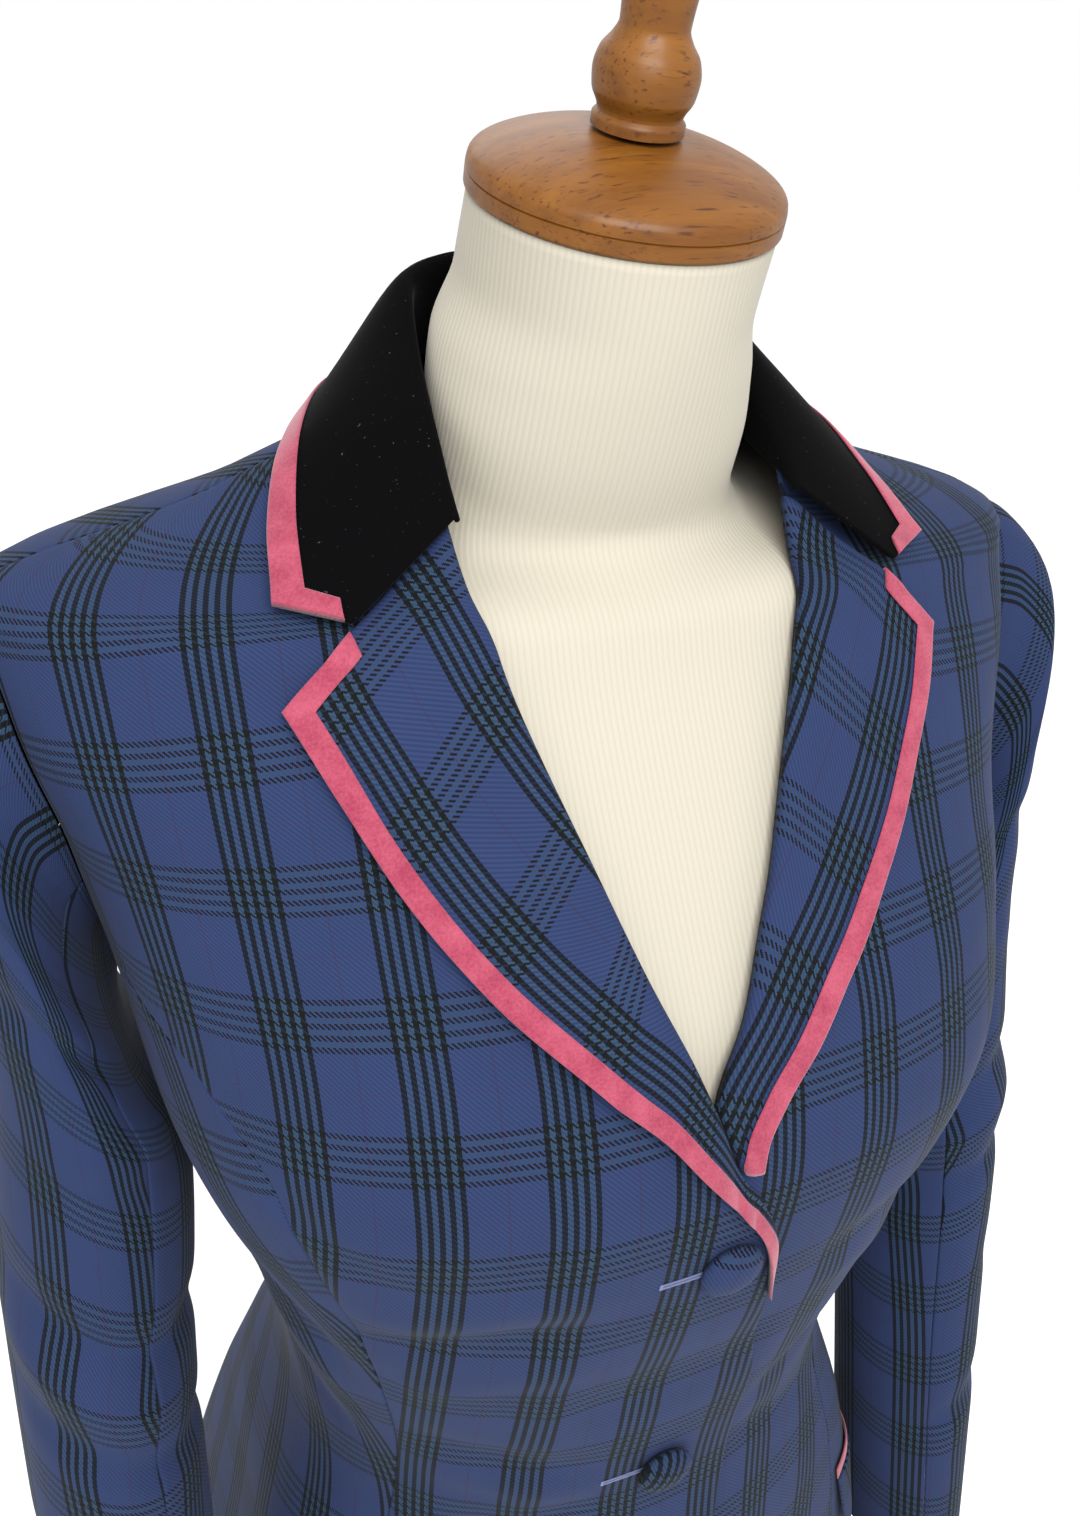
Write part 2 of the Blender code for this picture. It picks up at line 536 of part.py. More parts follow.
def form_rings():
    """Rings of the dress form from its foot to the top of the neck."""
    turn = np.linspace(0, 360, 40, endpoint=False)
    levels = np.concatenate([np.linspace(FORM_FOOT, 0.300, 19), [0.312, SHOULDER_TIP, FORM_SHOULDER]])
    insets = FORM_INSET + (SHOULDER_INSET - FORM_INSET) * ease(levels, 0.300, FORM_SHOULDER)
    rings = [body(turn, np.full_like(turn, level), np.full_like(turn, -inset))
             for level, inset in zip(levels, insets)]
    rings[0][:, 2] = WAIST + FORM_FOOT
    sine, cosine = np.sin(np.radians(turn)), np.cos(np.radians(turn))
    for level, half, front, back, middle, rise in NECK:
        depth = np.where(cosine > 0, middle - front, back - middle)
        rings.append(np.stack([half * sine, middle - depth * cosine, WAIST + level + rise * cosine], -1))
    return np.array(rings)


def form(name, rings, torso_material):
    rows, columns = rings.shape[:2]
    points = rings.reshape(-1, 3)
    faces = [(i * columns + j, i * columns + (j + 1) % columns, (i + 1) * columns + (j + 1) % columns,
              (i + 1) * columns + j) for i in range(rows - 1) for j in range(columns)]
    faces.append(tuple(range(columns - 1, -1, -1)))
    faces.append(tuple((rows - 1) * columns + j for j in range(columns)))
    return add_mesh(name, points, faces, torso_material)


for old in list(bpy.data.objects):
    bpy.data.objects.remove(old, do_unlink=True)
coat = bpy.data.collections.new("hunt coat on a dress form")
bpy.context.scene.collection.children.link(coat)

worsted = material("worsted check", 0.030, 0.048, 0.130, 0.85)
velvet = material("black velvet", 0.004, 0.004, 0.005, 0.95)
rose = material("rose band", 0.620, 0.180, 0.230, 0.90)
jersey = material("cream jersey", 0.800, 0.740, 0.620, 0.90)
beech = material("turned beech", 0.330, 0.180, 0.080, 0.45)

shell("front_left", front_grid(False, 0.0), front_grid(False, WALL), worsted)
shell("front_right", mirrored(front_grid(True, 0.0)), mirrored(front_grid(True, WALL)), worsted)
both_sides("side", side_grid(0.0), side_grid(WALL), worsted)
both_sides("back", back_grid(0.0), back_grid(WALL), worsted)
both_sides("sleeve_top", sleeve_grid(-SLEEVE_SEAM, SLEEVE_SEAM, 0.0),
           sleeve_grid(-SLEEVE_SEAM, SLEEVE_SEAM, WALL), worsted)
both_sides("sleeve_under", sleeve_grid(SLEEVE_SEAM, 360 - SLEEVE_SEAM, 0.0),
           sleeve_grid(SLEEVE_SEAM, 360 - SLEEVE_SEAM, WALL), worsted)

BAND_LIFT = LAPEL_LIFT + BAND_GAP + BAND_WALL
shell("lapel_left", lapel_grid(LAPEL_LOW_LEFT, LAPEL_LIFT), lapel_grid(LAPEL_LOW_LEFT, LIE_GAP), worsted)
shell("lapel_band_left", lapel_band_grid(LAPEL_LOW_LEFT, BAND_LIFT),
      lapel_band_grid(LAPEL_LOW_LEFT, BAND_LIFT - BAND_WALL), rose)
shell("lapel_right", mirrored(lapel_grid(LAPEL_LOW_RIGHT, LAPEL_LIFT)),
      mirrored(lapel_grid(LAPEL_LOW_RIGHT, LIE_GAP)), worsted)
shell("lapel_band_right", mirrored(lapel_band_grid(LAPEL_LOW_RIGHT, BAND_LIFT)),
      mirrored(lapel_band_grid(LAPEL_LOW_RIGHT, BAND_LIFT - BAND_WALL)), rose)

shell("collar", collar_grid(COLLAR_WALL), collar_grid(0.0), velvet)
COLLAR_BAND_LIFT = COLLAR_WALL + BAND_GAP
shell("collar_band", collar_band_grid(COLLAR_BAND_LIFT + BAND_WALL), collar_band_grid(COLLAR_BAND_LIFT), rose)

WELT_LIFT = LIE_GAP + BAND_WALL
both_sides("pocket_welt", pocket_grid(0.0, WELT_TALL, WELT_LIFT), pocket_grid(0.0, WELT_TALL, LIE_GAP), rose)
FLAP_TOP = WELT_TALL + SEAM_GAP
both_sides("pocket_flap", pocket_grid(FLAP_TOP, FLAP_TALL, LIE_GAP + WALL),
           pocket_grid(FLAP_TOP, FLAP_TALL, LIE_GAP), worsted)

BUTTON_PROFILE = [(BUTTON_RADIUS * np.sin(angle), BUTTON_EDGE + BUTTON_RISE * np.cos(angle))
                  for angle in np.radians((0, 25, 48, 68, 82, 90))] + [(BUTTON_RADIUS - 0.001, 0.0), (0.0, 0.0)]
BUTTON_PROFILE[0] = (0.0, BUTTON_PROFILE[0][1])
for number, (level, shank) in enumerate(BUTTONS, 1):
    turn = turn_at_x(BUTTON_X, np.array(level))
    seat = body(turn, np.array(level), np.array(LAP_LIFT + shank))
    lean = body(turn, np.array(level), np.array(1.0)) - body(turn, np.array(level), np.array(0.0))
    button = turned(f"button_{number}", BUTTON_PROFILE, worsted, 20, tuple(float(v) for v in seat))
    button.rotation_euler = (np.arccos(lean[2]), 0.0, np.arctan2(lean[0], -lean[1]))

form("form_torso", form_rings(), jersey)
cap_place = (CAP_CENTRE[0], CAP_CENTRE[1], WAIST + CAP_CENTRE[2])
turned("neck_cap", CAP_PROFILE, beech, 32, cap_place, CAP_TILT)
turned("finial", FINIAL_PROFILE, beech, 24, cap_place, CAP_TILT)
turned("pole", ((0.0, WAIST + FORM_FOOT - SEAM_GAP), (POLE_RADIUS, WAIST + FORM_FOOT - SEAM_GAP),
                (POLE_RADIUS, BASE_TOP + SEAM_GAP), (0.0, BASE_TOP + SEAM_GAP)), beech, 24)
turned("base", BASE_PROFILE, beech, 48)
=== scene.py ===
# %% [markdown]
# # A hunt coat on a dress form
#
# The real coat is cut from a checked worsted twill, shaped by long curved seams, and finished with a black
# velvet collar, rose bands and covered buttons.  It hangs on a padded form with a turned wooden cap.
# The solid part gives every panel its place.  This lesson lays fine cloth over the same sections: thin
# walls with rolled edges, soft creases, a woven check and a velvet nap.

# %% Load the solid part
import json

import bpy
import numpy as np
from mathutils import Matrix

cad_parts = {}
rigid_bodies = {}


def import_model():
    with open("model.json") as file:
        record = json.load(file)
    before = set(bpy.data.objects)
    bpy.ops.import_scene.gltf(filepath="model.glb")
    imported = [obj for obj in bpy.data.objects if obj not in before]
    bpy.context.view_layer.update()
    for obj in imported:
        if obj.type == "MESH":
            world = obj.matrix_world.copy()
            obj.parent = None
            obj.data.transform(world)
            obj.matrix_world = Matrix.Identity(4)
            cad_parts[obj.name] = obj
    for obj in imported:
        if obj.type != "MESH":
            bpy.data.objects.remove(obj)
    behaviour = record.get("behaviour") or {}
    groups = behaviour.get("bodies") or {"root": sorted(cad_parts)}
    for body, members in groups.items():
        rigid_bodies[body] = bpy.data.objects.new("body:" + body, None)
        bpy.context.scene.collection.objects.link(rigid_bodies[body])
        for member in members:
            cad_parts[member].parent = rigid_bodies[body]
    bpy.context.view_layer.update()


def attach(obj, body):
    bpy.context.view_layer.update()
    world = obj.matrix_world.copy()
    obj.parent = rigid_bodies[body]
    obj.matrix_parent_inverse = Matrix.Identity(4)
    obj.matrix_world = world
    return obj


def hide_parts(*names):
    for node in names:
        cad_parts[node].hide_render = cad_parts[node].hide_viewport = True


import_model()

# %% [markdown]
# ## One surface for the whole coat
#
# A tailor's panels join into one surface, so the coat's outside is given once, by level sections from the
# hem to the neck.  Each panel is then a patch of it between two seams.  The sections could be sculpted by
# hand, but a short table keeps both fronts, the backs and the form in step with each other.

# %% Sections of the coat
WAIST, HEM, NECK_EDGE, SHOULDER_TIP = 0.50, -0.300, 0.378, 0.324
WALL = 0.002

# level, half width, front, back, widest, front rise, back rise, front squareness, back squareness
BODY = np.array([
    (-0.300, 0.190, -0.190, 0.165, -0.028, 0.000, 0.000, 2.3, 2.2),
    (-0.180, 0.164, -0.168, 0.140, -0.040, 0.000, 0.000, 2.3, 2.2),
    (-0.080, 0.141, -0.148, 0.108, -0.048, 0.000, 0.000, 2.3, 2.2),
    (0.000, 0.120, -0.136, 0.086, -0.040, 0.000, 0.000, 2.3, 2.2),
    (0.080, 0.133, -0.143, 0.096, -0.036, 0.000, 0.000, 2.5, 2.2),
    (0.165, 0.160, -0.150, 0.106, -0.020, 0.000, 0.000, 2.7, 2.2),
    (0.215, 0.169, -0.136, 0.112, 0.001, 0.000, 0.000, 2.5, 2.2),
    (0.255, 0.179, -0.108, 0.113, 0.014, 0.000, 0.000, 2.3, 2.3),
    (0.295, 0.193, -0.078, 0.106, 0.026, 0.000, 0.000, 2.2, 2.2),
    (0.324, 0.196, -0.058, 0.094, 0.028, 0.000, 0.005, 2.0, 2.0),
    (0.3525, 0.119, -0.046, 0.074, 0.028, -0.014, 0.002, 2.0, 2.0),
    (0.378, 0.072, -0.038, 0.054, 0.016, -0.022, -0.004, 2.0, 2.0),
])


def smooth(at, table, column):
    """Value of a table's column at a place in its first column, without overshoot."""
    places, values = table[:, 0], table[:, column]
    steps = np.diff(places)
    slopes = np.diff(values) / steps
    lean = np.concatenate([slopes[:1], np.zeros(len(places) - 2), slopes[-1:]])
    for k in range(1, len(places) - 1):
        if slopes[k - 1] * slopes[k] > 0:
            before, after = 2 * steps[k] + steps[k - 1], steps[k] + 2 * steps[k - 1]
            lean[k] = (before + after) / (before / slopes[k - 1] + after / slopes[k])
    at = np.clip(at, places[0], places[-1])
    k = np.clip(np.searchsorted(places, at, side="right") - 1, 0, len(places) - 2)
    u = (at - places[k]) / steps[k]
    return ((1 + 2 * u) * (1 - u) ** 2 * values[k] + u * (1 - u) ** 2 * steps[k] * lean[k]
            + u * u * (3 - 2 * u) * values[k + 1] + u * u * (u - 1) * steps[k] * lean[k + 1])


def ease(value, low, high):
    """0 below low, 1 above high, a smooth step between."""
    share = np.clip((value - low) / (high - low), 0, 1)
    return share * share * (3 - 2 * share)


def unit(vectors):
    return vectors / np.linalg.norm(vectors, axis=-1, keepdims=True)


def body_section(turn, level):
    """Point of the smooth coat: turn in degrees (0 front, 90 wearer's left), level from the waist."""
    turn, level = np.broadcast_arrays(np.asarray(turn, float), np.asarray(level, float))
    half, front, back, wide, front_rise, back_rise, front_power, back_power = (
        smooth(level, BODY, column) for column in range(1, 9))
    sine, cosine = np.sin(np.radians(turn)), np.cos(np.radians(turn))
    power = np.where(cosine > 0, front_power, back_power)
    depth = np.where(cosine > 0, wide - front, back - wide)
    rise = np.where(cosine > 0, front_rise, back_rise)
    x = half * np.sign(sine) * np.abs(sine) ** (2 / power)
    y = wide - depth * np.sign(cosine) * np.abs(cosine) ** (2 / power)
    return np.stack([x, y, WAIST + level + rise * cosine ** 2], axis=-1)


def turn_at_x(x, level):
    """Turn of the front point that lies x from the middle."""
    half, power = smooth(level, BODY, 1), smooth(level, BODY, 7)
    share = np.clip(np.abs(x) / half, 0, 1) ** (power / 2)
    return np.sign(x) * np.degrees(np.arcsin(share))


def turn_at_y(y, level):
    """Turn of the wearer's left point at depth y."""
    front, back, wide = (smooth(level, BODY, column) for column in (2, 3, 4))
    forward = y < wide
    power = np.where(forward, smooth(level, BODY, 7), smooth(level, BODY, 8))
    depth = np.where(forward, wide - front, back - wide)
    share = np.clip(np.abs(y - wide) / depth, 0, 1) ** (power / 2)
    return np.where(forward, np.degrees(np.arccos(share)), 180 - np.degrees(np.arccos(share)))


waist_ring = body_section(np.linspace(0, 360, 181), 0.0)
print("waist of the coat: %.0f mm round"
      % (1000 * np.linalg.norm(np.diff(waist_ring, axis=0), axis=1).sum()))

# %% [markdown]
# ## Creases, placed one by one
#
# Worsted is firm, so the coat shows few creases: drag lines that run from the buttons to the side, a hollow
# between the buttons where the fronts are drawn in, and slow flutes in the skirt.  A cloth solver would
# place them by chance.  A short table puts each one where the real coat has it, and similar ones where the
# picture does not look.  The same creases move the panels and all that lies on them.

# %% Crease table and the draped surface
ARMHOLE_Y, ARMHOLE_LEVEL, ARMHOLE_DEEP, ARMHOLE_TALL = 0.035, 0.2605, 0.046, 0.0635
ARC_PER_DEGREE = 0.0026

# from turn, from level, to turn, to level, half width, height; turns below 0 are the wearer's right
CREASES = (
    (-50, 0.112, -9, 0.128, 0.0085, -0.0026), (-46, 0.132, -12, 0.143, 0.0090, 0.0016),
    (-44, 0.086, -12, 0.103, 0.0090, 0.0016), (-16, 0.070, 12, 0.076, 0.0190, -0.0026),
    (-46, 0.046, -10, 0.024, 0.0095, -0.0018), (-44, 0.020, -9, 0.006, 0.0080, 0.0014),
    (-40, -0.018, -8, -0.004, 0.0090, -0.0018), (-52, 0.168, -50, 0.110, 0.0060, -0.0018),
    (-58, 0.190, -36, 0.150, 0.0080, -0.0012), (-76, 0.120, -56, 0.080, 0.0100, -0.0022),
    (-80, 0.090, -58, 0.056, 0.0090, 0.0018), (-84, 0.040, -60, 0.020, 0.0100, -0.0020),
    (52, 0.110, 14, 0.120, 0.0090, -0.0022), (46, 0.084, 16, 0.098, 0.0095, 0.0015),
    (48, 0.040, 16, 0.022, 0.0095, -0.0019), (44, -0.020, 14, -0.002, 0.0090, -0.0016),
    (54, 0.166, 52, 0.112, 0.0060, -0.0016), (80, 0.116, 58, 0.076, 0.0100, -0.0022),
    (84, 0.086, 60, 0.050, 0.0090, 0.0017), (88, 0.036, 62, 0.014, 0.0100, -0.0019),
    (-132, 0.046, -172, 0.026, 0.0100, -0.0024), (-128, 0.014, -170, -0.004, 0.0100, 0.0017),
    (134, 0.050, 171, 0.022, 0.0100, -0.0022), (130, 0.010, 172, -0.008, 0.0110, 0.0018),
    (-136, 0.196, -160, 0.150, 0.0100, -0.0018), (138, 0.200, 162, 0.148, 0.0105, -0.0019),
    (-150, 0.240, -176, 0.222, 0.0120, -0.0014), (152, 0.236, 174, 0.224, 0.0120, -0.0012),
    (-24, -0.070, -27, -0.380, 0.0300, -0.0040), (-60, -0.060, -66, -0.380, 0.0260, 0.0046),
    (-96, -0.050, -100, -0.380, 0.0300, -0.0050), (-126, -0.060, -128, -0.380, 0.0240, 0.0052),
    (-158, -0.050, -160, -0.380, 0.0280, -0.0046), (28, -0.060, 30, -0.380, 0.0280, -0.0042),
    (64, -0.050, 68, -0.380, 0.0260, 0.0050), (100, -0.060, 102, -0.380, 0.0290, -0.0048),
    (128, -0.050, 132, -0.380, 0.0240, 0.0050), (160, -0.060, 157, -0.380, 0.0280, -0.0044),
)


def crease_height(across, along, table):
    """Height of a table's creases at flat places; each is a soft ridge or trough with fading ends."""
    total = np.zeros(np.broadcast(across, along).shape)
    for from_across, from_along, to_across, to_along, half_width, height in table:
        run, climb = to_across - from_across, to_along - from_along
        length = np.hypot(run, climb)
        share = ((across - from_across) * run + (along - from_along) * climb) / length ** 2
        aside = ((across - from_across) * climb - (along - from_along) * run) / length
        fade = ease(share, -0.12, 0.25) * (1 - ease(share, 0.72, 1.15))
        total = total + height * fade * np.exp(-(aside / half_width) ** 2)
    return total


def drape(turn, level):
    """Crease height on the body, faded out at the armholes, the neck and the shoulders."""
    table = [(a * ARC_PER_DEGREE, b, c * ARC_PER_DEGREE, d, e, f) for a, b, c, d, e, f in CREASES]
    point = body_section(turn, level)
    away = np.hypot((point[..., 1] - ARMHOLE_Y) / ARMHOLE_DEEP, (level - ARMHOLE_LEVEL) / ARMHOLE_TALL)
    calm = ease(away, 1.0, 1.6) * (1 - ease(level, 0.250, 0.330))
    return calm * crease_height(turn * ARC_PER_DEGREE, level, table)


TURN_STEP, LEVEL_STEP = 0.5, 0.0005


def section_normal(turn, level):
    """Way out of the smooth coat."""
    across = body_section(turn + TURN_STEP, level) - body_section(turn - TURN_STEP, level)
    upward = body_section(turn, level + LEVEL_STEP) - body_section(turn, level - LEVEL_STEP)
    return unit(np.cross(across, upward))


def body(turn, level, lift=0.0, side=1):
    """Point of the wearer's left half moved out along the normal; side -1 takes the creases of the right."""
    level = np.clip(level, HEM + LEVEL_STEP, NECK_EDGE - LEVEL_STEP)
    height = np.asarray(lift) + drape(side * turn, level)
    return body_section(turn, level) + section_normal(turn, level) * height[..., None]


print("creases on the body:", len(CREASES))

# %% [markdown]
# ## Walls with rolled edges
#
# A tailored edge is turned under and pressed, so it is round and never knife sharp.  Each panel is a closed
# wall between an outer and an inner grid of points.  A bevel would cut the corners evenly, but here the
# last rows of both grids lean towards each other, which also leaves the fine furrow of a pressed seam.
# Every point carries its place on the flat cloth in metres, so that the woven check can follow the cut.

# %% Cloth walls
EDGE_ROUND, EDGE_LEAN = 0.0018, 0.44


def edge_shares(count, size):
    """Shares from 0 to 1 over a size in metres, with close rows at both ends for the rolled edge."""
    near = np.array([0.0, 0.0004, 0.0010, EDGE_ROUND]) / size
    return np.concatenate([near[:-1], np.linspace(near[-1], 1 - near[-1], count), 1 - near[-2::-1]])


def rolled(share, size, wall=WALL):
    """How far a face leans into the wall near an edge."""
    away = np.clip(np.minimum(share, 1 - share) * size / EDGE_ROUND, 0, 1)
    return EDGE_LEAN * wall * (1 - np.sqrt(1 - (1 - away) ** 2))


def add_mesh(name, points, faces, finish, flat=None):
    """Mesh object with smooth faces; flat gives each point's place on the cloth."""
    mesh = bpy.data.meshes.new(name)
    mesh.from_pydata(np.asarray(points).tolist(), [], faces)
    if flat is not None:
        corners = np.array([corner for face in faces for corner in face])
        mesh.uv_layers.new(name="weave").data.foreach_set("uv", np.asarray(flat)[corners].ravel())
    mesh.shade_smooth()
    mesh.materials.append(finish)
    piece = bpy.data.objects.new(name, mesh)
    bpy.context.scene.collection.objects.link(piece)
    return piece


def grid_faces(rows, columns, start=0, closed=False):
    """Four-sided faces of a grid of points; closed joins its last column to its first."""
    across = range(columns if closed else columns - 1)
    return [(start + i * columns + j, start + i * columns + (j + 1) % columns,
             start + (i + 1) * columns + (j + 1) % columns, start + (i + 1) * columns + j)
            for i in range(rows - 1) for j in across]


def wall(name, outside, inside, flat, finish):
    """Closed wall between two grids of points whose columns run so that the outside faces out."""
    rows, columns = outside.shape[:2]
    layer = rows * columns
    faces = grid_faces(rows, columns)
    faces += [tuple(layer + corner for corner in reversed(face)) for face in faces]
    rim = list(range(columns)) + [i * columns + columns - 1 for i in range(1, rows)]
    rim += [(rows - 1) * columns + j for j in range(columns - 2, -1, -1)]
    rim += [i * columns for i in range(rows - 2, 0, -1)]
    faces += [(b, a, layer + a, layer + b) for a, b in zip(rim, rim[1:] + rim[:1])]
    points = np.concatenate([outside.reshape(-1, 3), inside.reshape(-1, 3)])
    return add_mesh(name, points, faces, finish, np.tile(flat.reshape(-1, 2), (2, 1)))


MIRROR = np.array([-1.0, 1.0, 1.0])


def on_side(outside, inside, flat, side):
    """The grids themselves for the wearer's left, or mirrored with their columns turned round."""
    if side > 0:
        return outside, inside, flat
    return (outside * MIRROR)[:, ::-1], (inside * MIRROR)[:, ::-1], flat[:, ::-1]


def run_along(points):
    """Distance from the first point along the second-last axis."""
    steps = np.linalg.norm(np.diff(points, axis=-2), axis=-1)
    return np.concatenate([np.zeros(steps.shape[:-1] + (1,)), np.cumsum(steps, axis=-1)], axis=-1)


def stand_for(piece, node):
    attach(piece, "root")
    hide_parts(node)


def sew(node, grids, finish_slot):
    """Cloth wall for a node, with its finish and its places on the flat cloth, standing in for the node."""
    outside, inside, flat = grids
    piece = wall(f"{node}_cloth", outside, inside, flat, FINISHES[finish_slot])
    stand_for(piece, node)


# %% [markdown]
# ## Finishes
#
# Worsted is a smooth wool yarn woven in a two-and-two twill, which draws fine diagonal lines. A painted
# check would miss those teeth, so the material counts threads both ways and lets the twill choose which one
# is on top.

# %% Colour and node helpers
SOCKETS = {"colour": "Base Color", "rough": "Roughness", "gloss": "Specular IOR Level",
           "sheen": "Sheen Weight", "sheen_rough": "Sheen Roughness",
           "coat": "Coat Weight", "coat_rough": "Coat Roughness"}


def linear(code):
    """Linear colour of an sRGB hex value."""
    shares = [int(code[k:k + 2], 16) / 255 for k in (1, 3, 5)]
    return tuple(s / 12.92 if s <= 0.04045 else ((s + 0.055) / 1.055) ** 2.4 for s in shares) + (1.0,)


def finish_named(name, **levels):
    """New material with its tree and its Principled shader, whose named sockets are set."""
    made = bpy.data.materials.new(name)
    made.use_nodes = True
    shader = made.node_tree.nodes["Principled BSDF"]
    for key, value in levels.items():
        shader.inputs[SOCKETS[key]].default_value = value
    return made, made.node_tree, shader


def add(tree, kind, settings=(), values=(), links=()):
    """One node with its settings, its socket values and the sockets that feed it."""
    node = tree.nodes.new(kind)
    for key, value in dict(settings).items():
        setattr(node, key, value)
    for key, value in dict(values).items():
        node.inputs[key].default_value = value
    for key, source in dict(links).items():
        tree.links.new(source, node.inputs[key])
    return node


# %% Worsted twill check
# Smooth wool yarn with a low, soft sheen; 92 threads make one repeat of the check, a little taller than wide.
CHECK_WIDE, CHECK_TALL, CHECK_THREADS, BAND_THREADS, LINE_THREADS = 0.0400, 0.0435, 92, 36, 4
THREADS = (CHECK_WIDE / CHECK_THREADS, CHECK_TALL / CHECK_THREADS)
OVERCHECK_THREAD, DARK_COVER, TWILL = 64, 0.75, 4.0

worsted, tree, shader = finish_named("worsted twill check",
                                     rough=0.85, gloss=0.15, sheen=0.03, sheen_rough=0.45)
place = add(tree, "ShaderNodeUVMap", {"uv_map": "weave"})
split = add(tree, "ShaderNodeSeparateXYZ", links={0: place.outputs[0]})


def thread_colours(direction, ground, slate, dark, plum):
    """Number of the thread that runs one way, and its colour in the repeat."""
    count = add(tree, "ShaderNodeMath", {"operation": "DIVIDE"}, {1: THREADS[direction]},
                {0: split.outputs[direction]})
    number = add(tree, "ShaderNodeMath", {"operation": "FLOOR"}, links={0: count.outputs[0]})
    moved = add(tree, "ShaderNodeMath", {"operation": "ADD"}, {1: BAND_THREADS / 2 + 0.5},
                {0: number.outputs[0]})
    repeat = add(tree, "ShaderNodeMath", {"operation": "FLOORED_MODULO"}, {1: CHECK_THREADS},
                 {0: moved.outputs[0]})
    share = add(tree, "ShaderNodeMath", {"operation": "DIVIDE"}, {1: CHECK_THREADS}, {0: repeat.outputs[0]})
    ramp = add(tree, "ShaderNodeValToRGB", links={0: share.outputs[0]})
    ramp.color_ramp.interpolation = "CONSTANT"
    stops = [(k, dark if k // LINE_THREADS % 2 == 0 else slate) for k in range(0, BAND_THREADS, LINE_THREADS)]
    stops += [(BAND_THREADS, ground), (OVERCHECK_THREAD, plum), (OVERCHECK_THREAD + 1, ground)]
    for k, (start, code) in enumerate(stops):
        stop = ramp.color_ramp.elements[k] if k < 2 else ramp.color_ramp.elements.new(start / CHECK_THREADS)
        stop.position = start / CHECK_THREADS
        stop.color = linear(code)
    return number, ramp


warp, warp_colour = thread_colours(0, "#273355", "#283b51", "#06090b", "#332845")
weft, weft_colour = thread_colours(1, "#1e2b4c", "#203349", "#06090b", "#2d2543")
step = add(tree, "ShaderNodeMath", {"operation": "ADD"}, links={0: warp.outputs[0], 1: weft.outputs[0]})
cycle = add(tree, "ShaderNodeMath", {"operation": "FLOORED_MODULO"}, {1: TWILL}, {0: step.outputs[0]})
on_top = add(tree, "ShaderNodeMath", {"operation": "GREATER_THAN"}, {1: TWILL / 2 - 0.5},
             {0: cycle.outputs[0]})
woven = add(tree, "ShaderNodeMix", {"data_type": "RGBA"},
            links={0: on_top.outputs[0], 6: warp_colour.outputs[0], 7: weft_colour.outputs[0]})
# The dark warp is dyed heavily and covers its neighbours, so a line down the cloth reads as solid and a line
# across it as a row of dashes.
covered = add(tree, "ShaderNodeMix", {"data_type": "RGBA", "blend_type": "DARKEN"}, {0: DARK_COVER},
              {6: woven.outputs[2], 7: warp_colour.outputs[0]})
cloudy = add(tree, "ShaderNodeTexNoise", values={"Scale": 30.0, "Detail": 3.0}, links={0: place.outputs[0]})
tone = add(tree, "ShaderNodeMapRange", values={3: 0.90, 4: 1.10}, links={0: cloudy.outputs[0]})
toned = add(tree, "ShaderNodeHueSaturation", links={"Value": tone.outputs[0], "Color": covered.outputs[2]})
tree.links.new(toned.outputs[0], shader.inputs["Base Color"])
ridge = add(tree, "ShaderNodeMath", {"operation": "PINGPONG"}, {1: TWILL / 2}, {0: step.outputs[0]})
relief = add(tree, "ShaderNodeBump", values={"Strength": 0.25, "Distance": 0.0002},
             links={"Height": ridge.outputs[0]})
tree.links.new(relief.outputs[0], shader.inputs["Normal"])
print(f"check {1000 * CHECK_WIDE:.0f} x {1000 * CHECK_TALL:.0f} mm, thread {1000 * THREADS[0]:.2f} mm")

# %% Velvet, felt, jersey and wood
# Cotton velvet: upright black pile that swallows light, with a few pale specks of lint.
velvet, tree, shader = finish_named("black cotton velvet",
                                    rough=1.0, gloss=0.05, sheen=0.03, sheen_rough=0.30)
LINT_SIZE = 0.0006
place = add(tree, "ShaderNodeTexCoord")
lint = add(tree, "ShaderNodeTexNoise", values={"Scale": 0.5 / LINT_SIZE, "Detail": 1.0},
           links={0: place.outputs["Object"]})
speck = add(tree, "ShaderNodeMapRange", values={1: 0.74, 2: 0.80}, links={0: lint.outputs[0]})
pile = add(tree, "ShaderNodeMix", {"data_type": "RGBA"}, {6: linear("#050506"), 7: linear("#3a3a40")},
           {0: speck.outputs[0]})
tree.links.new(pile.outputs[2], shader.inputs["Base Color"])

# Rose felt strip: matted fibres, quite matt, with a cloudy, lightly brushed face.
rose, tree, shader = finish_named("rose felt strip", rough=0.95, gloss=0.15, sheen=0.25)
FIBRE = 0.0009
place = add(tree, "ShaderNodeTexCoord")
fibres = add(tree, "ShaderNodeTexNoise", values={"Scale": 1 / FIBRE, "Detail": 4.0},
             links={0: place.outputs["Object"]})
clouds = add(tree, "ShaderNodeTexNoise", values={"Scale": 120.0, "Detail": 2.0},
             links={0: place.outputs["Object"]})
both = add(tree, "ShaderNodeMath", {"operation": "ADD"}, links={0: fibres.outputs[0], 1: clouds.outputs[0]})
felted = add(tree, "ShaderNodeMapRange", values={1: 0.7, 2: 1.3}, links={0: both.outputs[0]})
tint = add(tree, "ShaderNodeMix", {"data_type": "RGBA"}, {6: linear("#872f45"), 7: linear("#a0485b")},
           {0: felted.outputs[0]})
tree.links.new(tint.outputs[2], shader.inputs["Base Color"])
relief = add(tree, "ShaderNodeBump", values={"Strength": 0.3, "Distance": 0.0003},
             links={"Height": fibres.outputs[0]})
tree.links.new(relief.outputs[0], shader.inputs["Normal"])
